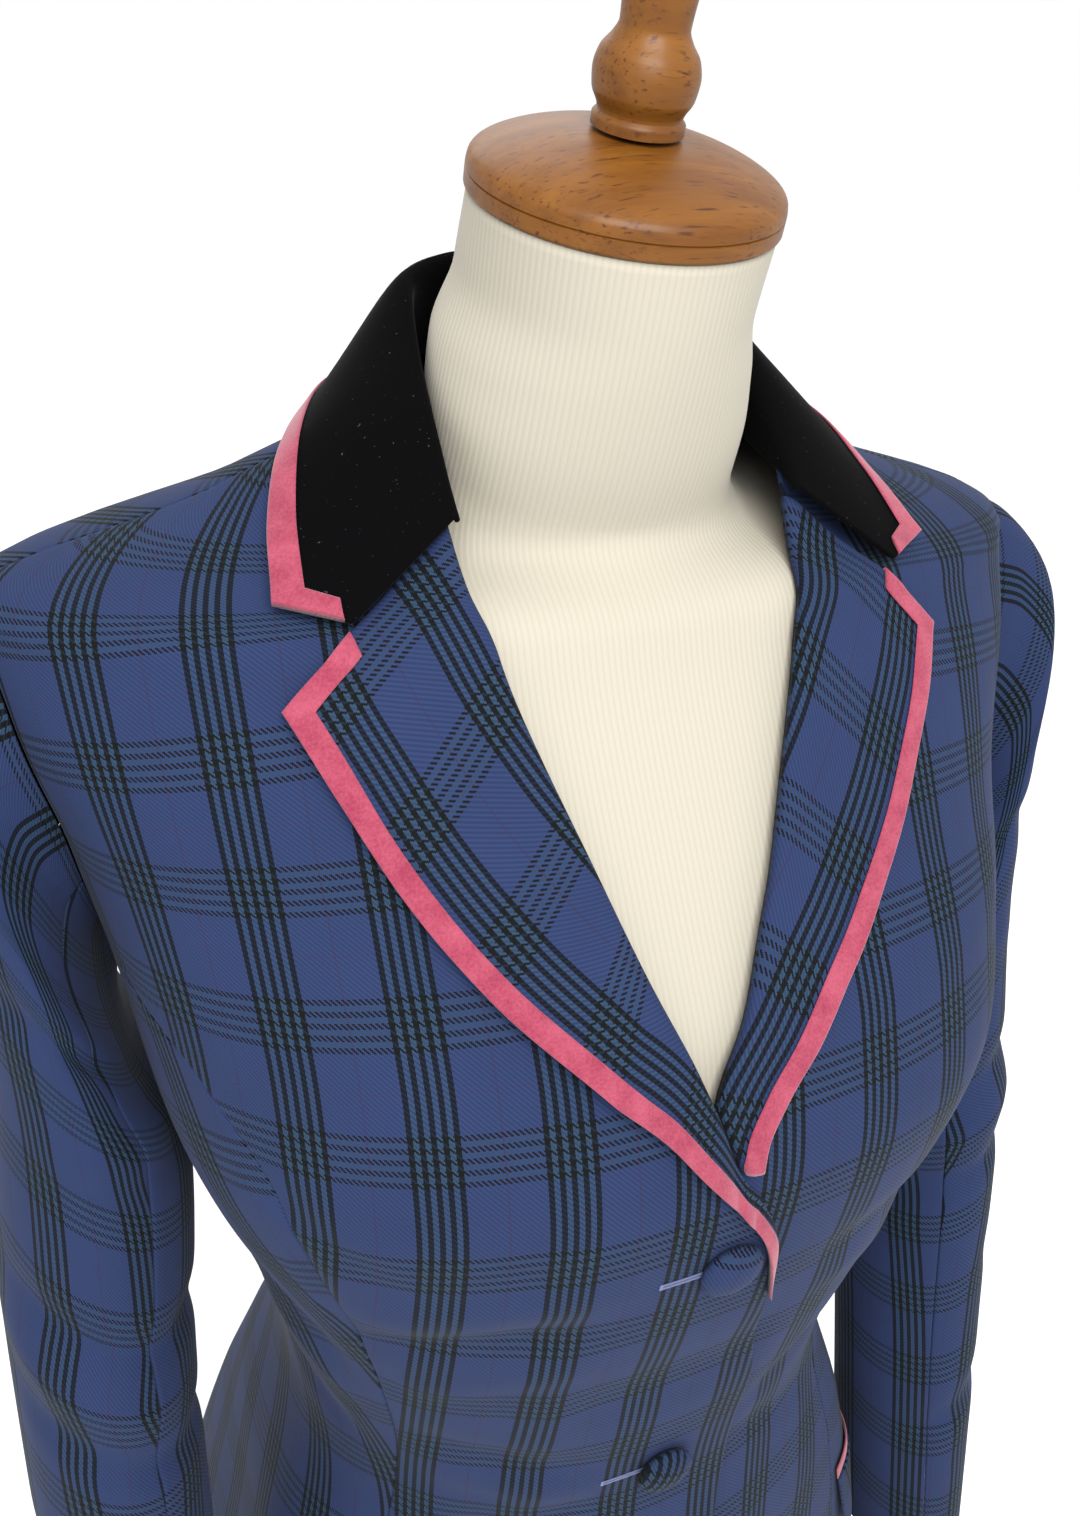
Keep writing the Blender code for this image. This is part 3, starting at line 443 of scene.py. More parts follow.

# Cream rib jersey: fine upright ribs of cotton, drawn tight over the padding, with shade painted into the
# grooves between the ribs.
jersey, tree, shader = finish_named("cream rib jersey", rough=0.9, gloss=0.2, sheen=0.1)
RIB = 0.0021
place = add(tree, "ShaderNodeUVMap", {"uv_map": "weave"})
split = add(tree, "ShaderNodeSeparateXYZ", links={0: place.outputs[0]})
ribs = add(tree, "ShaderNodeMath", {"operation": "MULTIPLY"}, {1: 2 * np.pi / RIB}, {0: split.outputs[0]})
round_rib = add(tree, "ShaderNodeMath", {"operation": "COSINE"}, links={0: ribs.outputs[0]})
stitch_row = add(tree, "ShaderNodeTexNoise", values={"Scale": 900.0, "Detail": 2.0},
                 links={0: place.outputs[0]})
rough_rib = add(tree, "ShaderNodeMath", {"operation": "MULTIPLY_ADD"}, {1: 0.6},
                {0: stitch_row.outputs[0], 2: round_rib.outputs[0]})
# Painted shade: the cream darkens in the grooves between the ribs and lightens on their crowns, with random
# tone from the stitch noise.
shade = add(tree, "ShaderNodeMapRange", values={1: -1.0, 2: 0.4}, links={0: rough_rib.outputs[0]})
knit = add(tree, "ShaderNodeMix", {"data_type": "RGBA"}, {6: linear("#a7a190"), 7: linear("#aea89a")},
           {0: shade.outputs[0]})
tree.links.new(knit.outputs[2], shader.inputs["Base Color"])
relief = add(tree, "ShaderNodeBump", values={"Strength": 0.2, "Distance": 0.0002},
             links={"Height": rough_rib.outputs[0]})
tree.links.new(relief.outputs[0], shader.inputs["Normal"])

# Turned beech under honey varnish: short dark flecks along the grain and a soft gloss.
beech, tree, shader = finish_named("varnished turned beech",
                                   rough=0.45, gloss=0.25, coat=0.12, coat_rough=0.25)
GRAIN = 0.0035
place = add(tree, "ShaderNodeTexCoord")
along = add(tree, "ShaderNodeMapping", values={"Scale": (0.10 / GRAIN, 1 / GRAIN, 1 / GRAIN)},
            links={0: place.outputs["Object"]})
grain = add(tree, "ShaderNodeTexNoise", links={0: along.outputs[0]},
            values={"Scale": 0.5, "Detail": 5.0, "Roughness": 0.6, "Distortion": 0.6})
flecks = add(tree, "ShaderNodeTexNoise", values={"Scale": 3.0, "Detail": 2.0}, links={0: along.outputs[0]})
streak = add(tree, "ShaderNodeMapRange", values={1: 0.30, 2: 0.70}, links={0: grain.outputs[0]})
fleck = add(tree, "ShaderNodeMapRange", values={1: 0.58, 2: 0.72}, links={0: flecks.outputs[0]})
timber = add(tree, "ShaderNodeMix", {"data_type": "RGBA"}, {6: linear("#61380c"), 7: linear("#774a14")},
             {0: streak.outputs[0]})
marked = add(tree, "ShaderNodeMix", {"data_type": "RGBA"}, {7: linear("#472507")},
             {0: fleck.outputs[0], 6: timber.outputs[2]})
tree.links.new(marked.outputs[2], shader.inputs["Base Color"])
FINISHES = {"worsted": worsted, "velvet": velvet, "rose": rose, "jersey": jersey, "beech": beech}
print("finishes:", [made.name for made in FINISHES.values()])

# %% [markdown]
# ## Fronts, sides and backs
#
# Six panels make the body.  The curved front seam runs from the armhole over the fullest part of the chest
# to the hem and gives the coat its waist, with a side body between it and the back.  The check runs parallel
# to the centre front, so each point's place on the flat cloth is measured along the surface from there.

# %% Seams and edges
SEAM_GAP, SEWN_GAP, LAP_LIFT, LIE_GAP = 0.0003, 0.00003, 0.0026, 0.001
SIDES = (("left", 1), ("right", -1))

# Fold line of the lapel, and the front edge below it: level, distance from the centre front
ROLL = np.array([
    (0.110, -0.0235), (0.125, -0.0208), (0.150, -0.0168), (0.168, -0.0085), (0.184, 0.002),
    (0.204, 0.0092), (0.238, 0.023), (0.268, 0.034), (0.322, 0.052), (0.356, 0.058), (0.378, 0.061),
])
# The wearer's left lapel is pulled nearer the centre by the lapped front: its own fold and free edge
LEFT_FOLD = np.array([
    (0.182, -0.0100), (0.204, -0.0080), (0.213, -0.0045), (0.2285, 0.0056), (0.243, 0.0140), (0.260, 0.0240),
    (0.277, 0.0323), (0.299, 0.0428), (0.317, 0.0510), (0.335, 0.0562), (0.356, 0.0590), (0.378, 0.0610),
])
FRONT_EDGE = np.array([
    (-0.300, 0.008), (-0.250, 0.021), (-0.120, 0.028), (-0.042, 0.031), (0.000, 0.033), (0.040, 0.033),
    (0.086, 0.0265), (0.110, 0.0235),
])
# Long seams: level, turn from the centre front; both end on the armhole
FRONT_SEAM = np.array([
    (-0.300, 50.0), (-0.030, 52.0), (0.060, 49.0), (0.120, 49.0), (0.150, 50.5), (0.182, 53.5), (0.208, 64.0),
    (0.226, 89.0),
])
BACK_SEAM = np.array([(-0.300, 143.0), (0.000, 142.0), (0.120, 140.0), (0.200, 136.0), (0.226, 132.0)])


def armhole_turns(level):
    """Turns of the armhole's front and back edges at a level."""
    reach = np.sqrt(np.clip(1 - ((level - ARMHOLE_LEVEL) / ARMHOLE_TALL) ** 2, 0, 1))
    spread = ARMHOLE_DEEP * reach
    return turn_at_y(ARMHOLE_Y - spread, level), turn_at_y(ARMHOLE_Y + spread, level)


FRONT_SEAM[-1, 1], BACK_SEAM[-1, 1] = armhole_turns(FRONT_SEAM[-1, 0])
LAPEL_LOW = {1: 0.182, -1: 0.114}


def fold_x(level, side):
    """Fold line of a lapel; the left one keeps beside the fold of the lapped right one."""
    fold = smooth(level, ROLL, 1)
    if side > 0:
        left = np.maximum(smooth(level, LEFT_FOLD, 1), LIE_GAP - fold)
        fold = np.where(level < LAPEL_LOW[1], fold, left)
    return fold


def half_gap(level):
    """Turn of half the gap between two sewn edges, too small to see light through."""
    return np.degrees(SEWN_GAP / 2 / smooth(level, BODY, 1))


def outer_turn(level, seam, edge):
    """Edge of a front (edge 0) or a back (edge 1): its long seam, the armhole, then the shoulder seam."""
    turn = np.where(level <= seam[-1, 0], smooth(level, seam, 1), armhole_turns(level)[edge])
    turn = np.where(level > SHOULDER_TIP, 90.0, turn)
    return turn + (-1 if edge == 0 else 1) * half_gap(level)


CHECK_LEVEL, PATH_SHARES = 0.150, np.linspace(0, 1, 41)


def around(turn, level):
    """Distance along the section from the centre front."""
    path = body_section(turn[..., None] * PATH_SHARES, level[..., None])
    return np.linalg.norm(np.diff(path, axis=-2), axis=-1).sum(-1)


def climb(turn, level):
    """Distance along the surface above the check's own level."""
    levels = CHECK_LEVEL + (level[..., None] - CHECK_LEVEL) * PATH_SHARES
    path = body_section(turn[..., None], levels)
    return np.linalg.norm(np.diff(path, axis=-2), axis=-1).sum(-1) * np.sign(level - CHECK_LEVEL)


def panel_levels(count):
    """Levels from hem to neck, closer at the hem, the neck, and where the armhole starts and ends."""
    shares = edge_shares(count, NECK_EDGE - HEM)
    levels = HEM + (NECK_EDGE - HEM) * shares
    for fixed in (FRONT_SEAM[-1, 0], SHOULDER_TIP):
        levels[np.abs(levels - fixed).argmin()] = fixed
    return levels[:, None], shares[:, None]


# %% Fronts
FRONT_ROWS, FRONT_COLUMNS, FRONT_WIDTH = 170, 46, 0.15
CHECK_FROM_CENTRE, CHECK_ABOVE = 0.0165, 0.0120
# The chest is shaped by the iron, so above the waist the check droops towards the armhole by this share
CHECK_DROOP, DROOP_REACH = 0.085, 0.14


def lap(x, level, lapped):
    """Lift of the wearer's right front, which lies over the left one where they overlap."""
    return lapped * LAP_LIFT * (1 - ease(x, 0.046, 0.072)) * (1 - ease(level, 0.200, 0.230))


def front_panel(side):
    level, up = panel_levels(FRONT_ROWS)
    edge = np.where(level < ROLL[0, 0], -smooth(level, FRONT_EDGE, 1), fold_x(level, side))
    inner, outer = turn_at_x(edge, level), outer_turn(level, FRONT_SEAM, 0)
    share = edge_shares(FRONT_COLUMNS, FRONT_WIDTH)[None, :]
    turn = inner + (outer - inner) * share
    level = np.broadcast_to(level, turn.shape)
    lift = lap(body_section(turn, level)[..., 0], level, side < 0)
    lean = np.maximum(rolled(share, FRONT_WIDTH), rolled(up, NECK_EDGE - HEM))
    out, high = around(turn, level), climb(turn, level)
    high = high * np.where(high > 0, 1 + CHECK_DROOP * (out / DROOP_REACH) ** 2, 1.0)
    flat = np.stack([side * (np.sign(turn) * out - CHECK_FROM_CENTRE), high - CHECK_ABOVE], -1)
    return on_side(body(turn, level, lift - lean, side),
                   body(turn, level, lift - WALL + lean, side), flat, side)


for word, side in SIDES:
    sew(f"front_{word}", front_panel(side), "worsted")

# %% Side bodies
SIDE_ROWS, SIDE_COLUMNS, SIDE_WIDTH, SIDE_SLANT, SIDE_MIDDLE = 130, 44, 0.19, 14.0, 95.0


def side_turn(level, across):
    front = smooth(level, FRONT_SEAM, 1) + half_gap(level)
    back = smooth(level, BACK_SEAM, 1) - half_gap(level)
    return front + (back - front) * across


def side_panel(side):
    across = edge_shares(SIDE_COLUMNS, SIDE_WIDTH)[None, :]
    up = edge_shares(SIDE_ROWS, FRONT_SEAM[-1, 0] - HEM)[:, None]
    top = np.full(across.shape, FRONT_SEAM[-1, 0])
    for _ in range(40):
        y = body_section(side_turn(top, across), top)[..., 1]
        reach = np.clip(1 - ((y - ARMHOLE_Y) / ARMHOLE_DEEP) ** 2, 0, 1)
        top = 0.5 * top + 0.5 * (ARMHOLE_LEVEL - ARMHOLE_TALL * np.sqrt(reach))
    level = HEM + (np.minimum(top, FRONT_SEAM[-1, 0]) - HEM) * up
    turn = side_turn(level, across)
    lean = np.maximum(rolled(across, SIDE_WIDTH), rolled(up, FRONT_SEAM[-1, 0] - HEM))
    flat_x = around(turn, level) - around(np.full(turn.shape, SIDE_MIDDLE), level)
    flat_y = climb(turn, level) - CHECK_ABOVE
    slant = np.radians(SIDE_SLANT)
    flat = np.stack([side * (flat_x * np.cos(slant) - flat_y * np.sin(slant)),
                     flat_x * np.sin(slant) + flat_y * np.cos(slant)], -1)
    return on_side(body(turn, level, -lean, side), body(turn, level, lean - WALL, side), flat, side)


for word, side in SIDES:
    sew(f"side_{word}", side_panel(side), "worsted")

# %% Backs
BACK_ROWS, BACK_COLUMNS, BACK_WIDTH = 170, 38, 0.12


def back_panel(side):
    level, up = panel_levels(BACK_ROWS)
    outer, inner = outer_turn(level, BACK_SEAM, 1), 180 - half_gap(level)
    share = edge_shares(BACK_COLUMNS, BACK_WIDTH)[None, :]
    turn = outer + (inner - outer) * share
    level = np.broadcast_to(level, turn.shape)
    lean = np.maximum(rolled(share, BACK_WIDTH), rolled(up, NECK_EDGE - HEM))
    half_round = around(np.full(turn.shape, 180.0), level)
    flat = np.stack([side * (around(turn, level) - half_round), climb(turn, level) - CHECK_ABOVE], -1)
    return on_side(body(turn, level, -lean, side), body(turn, level, lean - WALL, side), flat, side)


for word, side in SIDES:
    sew(f"back_{word}", back_panel(side), "worsted")

# %% [markdown]
# ## Sleeves
#
# A two-piece sleeve bends a little forward, as an arm does.  Its head is set into the armhole, so the first
# rings are moved onto the armhole's edge and ease away from it.  Empty sleeves hang and buckle: creases run
# from the armpit, cross the inside of the elbow and gather above the cuff.

# %% Sleeve rings and creases
# share down, outer x, outer level, inner x, inner level, middle y, half depth
SLEEVE = np.array([
    (0.00, 0.196, 0.324, 0.1665, 0.197, 0.035, 0.046),
    (0.04, 0.210, 0.319, 0.1690, 0.193, 0.032, 0.050),
    (0.10, 0.221, 0.302, 0.1680, 0.184, 0.019, 0.051),
    (0.22, 0.213, 0.258, 0.1628, 0.160, 0.0115, 0.057),
    (0.35, 0.2135, 0.185, 0.1480, 0.120, -0.004, 0.0545),
    (0.55, 0.222, 0.070, 0.1565, 0.030, -0.032, 0.050),
    (0.78, 0.2255, -0.070, 0.1610, -0.085, -0.069, 0.040),
    (1.00, 0.2305, -0.215, 0.172, -0.215, -0.097, 0.0415),
])
SLEEVE_SEAM, SEAT_SHARE, SLEEVE_GAP, SLEEVE_LENGTH, SLEEVE_ARC = 112.0, 0.20, 0.0001, 0.56, 0.00085
# from angle, from share, to angle, to share, half width, height; angle 0 is the outside, -90 the front
SLEEVE_CREASES = (
    (-120, 0.20, -40, 0.30, 0.0090, -0.0024), (-150, 0.27, -60, 0.38, 0.0095, 0.0020),
    (120, 0.20, 40, 0.31, 0.0090, -0.0022), (150, 0.28, 60, 0.40, 0.0095, 0.0018),
    (-150, 0.47, -20, 0.50, 0.0085, -0.0028), (-140, 0.52, -10, 0.54, 0.0085, 0.0020),
    (-150, 0.57, -25, 0.58, 0.0085, -0.0026), (20, 0.50, 120, 0.46, 0.0100, -0.0018),
    (30, 0.60, 130, 0.57, 0.0100, -0.0016), (-60, 0.68, 40, 0.74, 0.0110, -0.0016),
    (-130, 0.84, 10, 0.80, 0.0090, -0.0020), (-40, 0.88, 110, 0.85, 0.0095, -0.0018),
    (160, 0.50, 230, 0.48, 0.0090, -0.0024), (150, 0.60, 220, 0.59, 0.0090, -0.0020),
)


def sleeve_point(angle, share):
    """Smooth point of the wearer's left sleeve; angle 0 is the outer side and 90 the back."""
    outer_x, outer_level, inner_x, inner_level, middle_y, deep = (
        smooth(share, SLEEVE, column) for column in range(1, 7))
    cosine, sine = np.cos(np.radians(angle)), np.sin(np.radians(angle))
    x = (outer_x + inner_x) / 2 + (outer_x - inner_x) / 2 * cosine
    level = (outer_level + inner_level) / 2 + (outer_level - inner_level) / 2 * cosine
    point = np.stack([x, middle_y + deep * sine, WAIST + level], axis=-1)
    hole_level = ARMHOLE_LEVEL + (ARMHOLE_TALL - SLEEVE_GAP) * cosine
    hole_y = ARMHOLE_Y + (ARMHOLE_DEEP - SLEEVE_GAP) * sine
    hole = body_section(turn_at_y(hole_y, hole_level), hole_level)
    start = np.stack([(SLEEVE[0, 1] + SLEEVE[0, 3]) / 2 + (SLEEVE[0, 1] - SLEEVE[0, 3]) / 2 * cosine,
                      hole_y, WAIST + hole_level], axis=-1)
    return point + (1 - ease(share, 0.0, SEAT_SHARE))[..., None] * (hole - start)


def sleeve_cloth(angle, share, lift, side):
    """Sleeve point moved out along its normal, with the creases of its side."""
    angle_step, share_step = 1.0, 0.004
    round_step = sleeve_point(angle + angle_step, share) - sleeve_point(angle - angle_step, share)
    upward = (sleeve_point(angle, np.clip(share - share_step, 0, 1))
              - sleeve_point(angle, np.clip(share + share_step, 0, 1)))
    slip = 0.0 if side > 0 else 0.015
    table = [(a * SLEEVE_ARC, (b + slip) * SLEEVE_LENGTH, c * SLEEVE_ARC, (d - slip) * SLEEVE_LENGTH, e, f)
             for a, b, c, d, e, f in SLEEVE_CREASES]
    raised = sum(crease_height((angle + whole) * SLEEVE_ARC, share * SLEEVE_LENGTH, table)
                 for whole in (-360, 0, 360)) * ease(share, 0.08, 0.22)
    return sleeve_point(angle, share) + unit(np.cross(round_step, upward)) * (lift + raised)[..., None]


# %% Sleeve pieces
SLEEVE_ROWS, TOP_COLUMNS, UNDER_COLUMNS, SLEEVE_TRIM, SLEEVE_RADIUS = 140, 64, 44, 0.06, 0.05


def sleeve_panel(first, last, columns, side):
    size = np.radians(last - first) * SLEEVE_RADIUS
    across, down = edge_shares(columns, size)[None, :], edge_shares(SLEEVE_ROWS, SLEEVE_LENGTH)[::-1, None]
    share, angle = np.broadcast_arrays(down, first + SLEEVE_TRIM + (last - first - 2 * SLEEVE_TRIM) * across)
    lean = np.maximum(rolled(across, size), rolled(down, SLEEVE_LENGTH))
    outside = sleeve_cloth(angle, share, -lean, side)
    inside = sleeve_cloth(angle, share, lean - WALL, side)
    flat_x = run_along(outside)
    flat_x = flat_x - flat_x[:, columns // 2][:, None]
    flat_y = np.broadcast_to(-share * SLEEVE_LENGTH, flat_x.shape)
    flat = np.stack([side * flat_x, flat_y], -1)
    return on_side(outside, inside, flat, side)


for word, side in SIDES:
    for part, first, last, columns in (("top", -SLEEVE_SEAM, SLEEVE_SEAM, TOP_COLUMNS),
                                       ("under", SLEEVE_SEAM, 360 - SLEEVE_SEAM, UNDER_COLUMNS)):
        sew(f"sleeve_{part}_{word}", sleeve_panel(first, last, columns, side),
            "worsted")

# %% [markdown]
# ## Lapels
#
# A lapel is the front's own facing turned back along the roll line.  It springs from a soft round fold,
# lies on the chest and stands off a little at its free edge, where it throws a thin shadow.  It is made
# from the front's points moved out, so it follows every crease below it.  Its check runs along the free edge.

# %% Lapel shape
LAPEL_STAND, ROLL_ROUND = 0.0016, 0.0042
LAPEL_LIFT = WALL + LIE_GAP
LAPEL_EDGE = np.array([
    (0.108, -0.0232), (0.125, -0.0187), (0.152, -0.0100), (0.170, 0.002), (0.188, 0.0175), (0.202, 0.029),
    (0.218, 0.0465), (0.242, 0.073), (0.266, 0.0915), (0.292, 0.106), (0.312, 0.1165),
])
LEFT_EDGE = np.array([
    (0.182, 0.0062), (0.190, 0.0075), (0.202, 0.0145), (0.2155, 0.0268), (0.228, 0.0393), (0.239, 0.0527),
    (0.253, 0.0675), (0.265, 0.0790), (0.279, 0.0900), (0.2935, 0.1010), (0.312, 0.1122),
])
GORGE_LEVEL, NOTCH_SHARE = 0.366, 0.62


def lapel_point(up, across, side, lift):
    """Lapel point: up from its foot to the gorge, across from the fold to the free edge."""
    low = LAPEL_LOW[side]
    fold_level = low + (GORGE_LEVEL - low) * up
    edge_level = low + (LAPEL_EDGE[-1, 0] - low) * up
    start_x, edge_x = fold_x(fold_level, side), smooth(edge_level, LEFT_EDGE if side > 0 else LAPEL_EDGE, 1)
    x, level = start_x + (edge_x - start_x) * across, fold_level + (edge_level - fold_level) * across
    from_fold = np.clip(np.abs(edge_x - start_x) * across / ROLL_ROUND, 0, 1)
    tuck = -LAPEL_LIFT * (1 - np.sqrt(1 - (1 - from_fold) ** 2))
    stand = LAPEL_STAND * across ** 2 * np.sin(np.pi * np.clip(up, 0.02, 0.98)) ** 0.5
    over = LAP_LIFT * (1 - ease(level, 0.215, 0.245)) if side < 0 else 0.0
    return body(turn_at_x(x, level), level, lift + tuck + stand + over, side)


LAPEL_ROWS, LAPEL_COLUMNS, LAPEL_WIDTH, LAPEL_LENGTH, LAPEL_TRIM = 110, 40, 0.06, 0.26, 0.985
LAPEL_CHECK_IN, LAPEL_CHECK_DOWN = 0.0170, 0.0115


def lapel_panel(side):
    across = edge_shares(LAPEL_COLUMNS, LAPEL_WIDTH)[None, :]
    up = edge_shares(LAPEL_ROWS, LAPEL_LENGTH)[:, None]
    lean = np.maximum(np.where(across > 0.5, rolled(across, LAPEL_WIDTH), 0.0), rolled(up, LAPEL_LENGTH))
    up, across = np.broadcast_arrays(up, across * LAPEL_TRIM)
    outside = lapel_point(up, across, side, LAPEL_LIFT - lean)
    inside = lapel_point(up, across, side, LIE_GAP + lean)
    flat_x = run_along(outside)
    flat_x = flat_x - flat_x[:, -1:]
    flat_y = run_along(outside[:, -1])
    flat_y = np.broadcast_to((flat_y - flat_y[-1])[:, None], flat_x.shape)
    flat = np.stack([side * (flat_x + LAPEL_CHECK_IN), flat_y + LAPEL_CHECK_DOWN], -1)
    return on_side(outside, inside, flat, side)


for word, side in SIDES:
    sew(f"lapel_{word}", lapel_panel(side), "worsted")

# %% [markdown]
# ## Rose bands
#
# A felt strip about 8 mm wide is sewn round the edge of the lapels and of the collar, mitred at the corners,
# and turned over the edge.  It follows the lapel's own points, lifted by its thickness, and its outer edge
# reaches down over the cut edge of the lapel.

# %% Lapel bands
BAND_WIDTH, BAND_WALL, BAND_WRAP, BAND_REST, BAND_MOST = 0.008, 0.001, 0.0024, 0.0002, 0.92
BAND_COLUMNS, BAND_ROWS, MITRE_ROWS = 7, 90, 16


def band_walls(surface, inner, edge, side_name):
    """Outer and inner grid of a strip between two paths of shares on a surface."""
    share = edge_shares(BAND_COLUMNS, BAND_WIDTH)[None, :]
    places = inner[:, None, :] + (edge - inner)[:, None, :] * share[..., None]
    lean = rolled(share, BAND_WIDTH, BAND_WALL)
    wrap = BAND_WRAP * ease(share, 0.90, 1.0)
    outside = surface(places[..., 0], places[..., 1], BAND_WALL + BAND_REST - lean)
    inside = surface(places[..., 0], places[..., 1], BAND_REST + lean - wrap)
    run = run_along(outside[:, -1])[:, None]
    flat = np.stack(np.broadcast_arrays((BAND_WIDTH + BAND_WRAP) * share, run), -1)
    print(side_name, "strip runs %.0f mm" % (1000 * run[-1, 0]))
    return outside, inside, flat


def lapel_band(side):
    """Strip along the notch edge and the free edge, with a mitre at the corner."""
    down = np.linspace(1, 0, BAND_ROWS)
    still = np.zeros_like(down)
    fold_line, edge_line = (lapel_point(down, still + across, side, still) for across in (0, 1))
    share = np.clip(BAND_WIDTH / np.linalg.norm(edge_line - fold_line, axis=-1), 0, BAND_MOST)
    drop = BAND_WIDTH / np.linalg.norm(np.diff(edge_line, axis=0), axis=-1).sum()
    along_notch = np.linspace(0, 1, MITRE_ROWS)[:-1]
    notch_edge = NOTCH_SHARE + (1 - NOTCH_SHARE) * along_notch
    edge = np.concatenate([np.stack([np.ones_like(along_notch), notch_edge], -1),
                           np.stack([down, still + 1], -1)])
    corner = 1 - share[0]
    inner = np.concatenate([np.stack([np.full_like(along_notch, 1 - drop),
                                      NOTCH_SHARE + (corner - NOTCH_SHARE) * along_notch], -1),
                            np.stack([np.minimum(down, 1 - drop), 1 - share], -1)])

    def surface(up, across, lift):
        return lapel_point(up, across, side, LAPEL_LIFT + lift)

    outside, inside, flat = band_walls(surface, inner[::-1], edge[::-1], f"lapel {side:+d}")
    return on_side(outside, inside, flat, side)


for word, side in SIDES:
    sew(f"lapel_band_{word}", lapel_band(side), "rose")

# %% [markdown]
# ## Velvet collar
#
# The collar stands up round the neck, turns over at a crease and falls outwards to its free edge.  Its two
# ends meet the lapels at the gorge and leave the notch.  A table gives the crease and the free edge from
# the front end to the centre back, and a bent line between them keeps the fold round.

# %% Collar shape
# share, crease x, y, level, edge x, y, level
COLLAR = np.array([
    (0.00, 0.0603, -0.0331, 0.3594, 0.1149, -0.0329, 0.3385),
    (0.18, 0.0595, -0.0184, 0.3706, 0.1088, -0.0087, 0.3512),
    (0.40, 0.0570, 0.0095, 0.3899, 0.0973, 0.0193, 0.3645),
    (0.62, 0.0505, 0.0393, 0.4083, 0.0733, 0.0586, 0.3677),
    (0.82, 0.0269, 0.0562, 0.4130, 0.0365, 0.0775, 0.3641),
    (1.00, 0.0000, 0.0608, 0.4126, 0.0000, 0.0806, 0.3630),
])
NOTCH = np.array((0.0945, -0.0460, 0.3362))
COLLAR_RISE, COLLAR_WALL = 0.007, 0.0018
STAND_FRONT, STAND_BACK, LEAN_FRONT, LEAN_BACK = 0.0008, 0.026, -0.0006, 0.002


def collar_point(round_share, across):
    """Collar's upper face: round from the wearer's right end (0) to the left end (2), across from the
    stand's foot (-1) over the crease (0) to the free edge (1)."""
    round_share, across = np.broadcast_arrays(np.asarray(round_share, float), np.asarray(across, float))
    side = np.where(round_share > 1, 1.0, -1.0)
    share = np.minimum(round_share, 2 - round_share)
    crease = np.stack([smooth(share, COLLAR, column) for column in (1, 2, 3)], -1)
    edge = np.stack([smooth(share, COLLAR, column) for column in (4, 5, 6)], -1)
    fall = np.clip(across, 0, 1)[..., None]
    near_end = (1 - ease(share, 0.0, 0.16))[..., None]
    straight = crease + (edge - crease) * fall
    bent = np.where(fall < NOTCH_SHARE, crease + (NOTCH - crease) * fall / NOTCH_SHARE,
                    NOTCH + (edge - NOTCH) * (fall - NOTCH_SHARE) / (1 - NOTCH_SHARE))
    point = straight + (bent - straight) * near_end
    rise = COLLAR_RISE * np.sin(np.pi * np.sqrt(fall[..., 0])) * ease(share, 0.0, 0.30)
    behind = ease(share, 0.0, 0.55)
    stand = np.clip(-across, 0, 1) * (STAND_FRONT + (STAND_BACK - STAND_FRONT) * behind)
    lean = np.clip(-across, 0, 1) * (LEAN_FRONT + (LEAN_BACK - LEAN_FRONT) * behind)
    point = point + unit(crease * np.array([1.0, 1.0, 0.0])) * lean[..., None]
    point[..., 2] += rise - stand
    return point * np.stack([side, np.ones_like(side), np.ones_like(side)], -1) + np.array([0, 0, WAIST])


def collar_face(round_share, across, lift):
    """Collar's upper face moved out along its normal."""
    round_share, across = np.broadcast_arrays(round_share, across)
    round_step, across_step = 0.01, 0.03
    along = (collar_point(np.clip(round_share + round_step, 0, 2), across)
             - collar_point(np.clip(round_share - round_step, 0, 2), across))
    down = (collar_point(round_share, np.clip(across + across_step, -1, 1))
            - collar_point(round_share, np.clip(across - across_step, -1, 1)))
    return collar_point(round_share, across) + unit(np.cross(along, down)) * np.asarray(lift)[..., None]


# %% Collar piece
COLLAR_LONG, COLLAR_DEEP, COLLAR_ROWS, COLLAR_COLUMNS = 0.40, 0.085, 48, 150
CREASE_CROWD = 1.15  # above 1 the rows gather at the crease
across = 2 * edge_shares(COLLAR_ROWS, COLLAR_DEEP)[:, None] - 1
across = np.sign(across) * np.abs(across) ** CREASE_CROWD
round_share = 2 * edge_shares(COLLAR_COLUMNS, COLLAR_LONG)[None, :]
lean = np.maximum(rolled(round_share / 2, COLLAR_LONG, COLLAR_WALL),
                  rolled((across + 1) / 2, COLLAR_DEEP, COLLAR_WALL))
across, round_share = np.broadcast_arrays(across, round_share)
outside = collar_face(round_share, across, COLLAR_WALL - lean)
inside = collar_face(round_share, across, lean)
flat = np.stack([COLLAR_LONG * round_share / 2, COLLAR_DEEP * (across + 1) / 2], -1)
sew("collar", (outside, inside, flat), "velvet")

# %% Collar band
BAND_REACH, BAND_END, BAND_FIRST, COLLAR_BAND_ROWS = 0.17, 0.055, 0.04, 181
along = np.linspace(0, 2, COLLAR_BAND_ROWS)
first = NOTCH_SHARE + BAND_FIRST
end = np.linspace(0, 1, MITRE_ROWS)[:-1]
outer_end = first + (1 - first) * end
edge = np.concatenate([np.stack([0 * end, outer_end], -1), np.stack([along, 0 * along + 1], -1),
                       np.stack([0 * end + 2, outer_end[::-1]], -1)])
inner_end = first + (1 - BAND_REACH - first) * end
inner = np.concatenate([np.stack([0 * end + BAND_END, inner_end], -1),
                        np.stack([BAND_END + (1 - BAND_END) * along, 0 * along + 1 - BAND_REACH], -1),
                        np.stack([0 * end + 2 - BAND_END, inner_end[::-1]], -1)])


def collar_top(round_share, across, lift):
    return collar_face(round_share, across, COLLAR_WALL + lift)


sew("collar_band", band_walls(collar_top, inner[::-1], edge[::-1], "collar"),
    "rose")

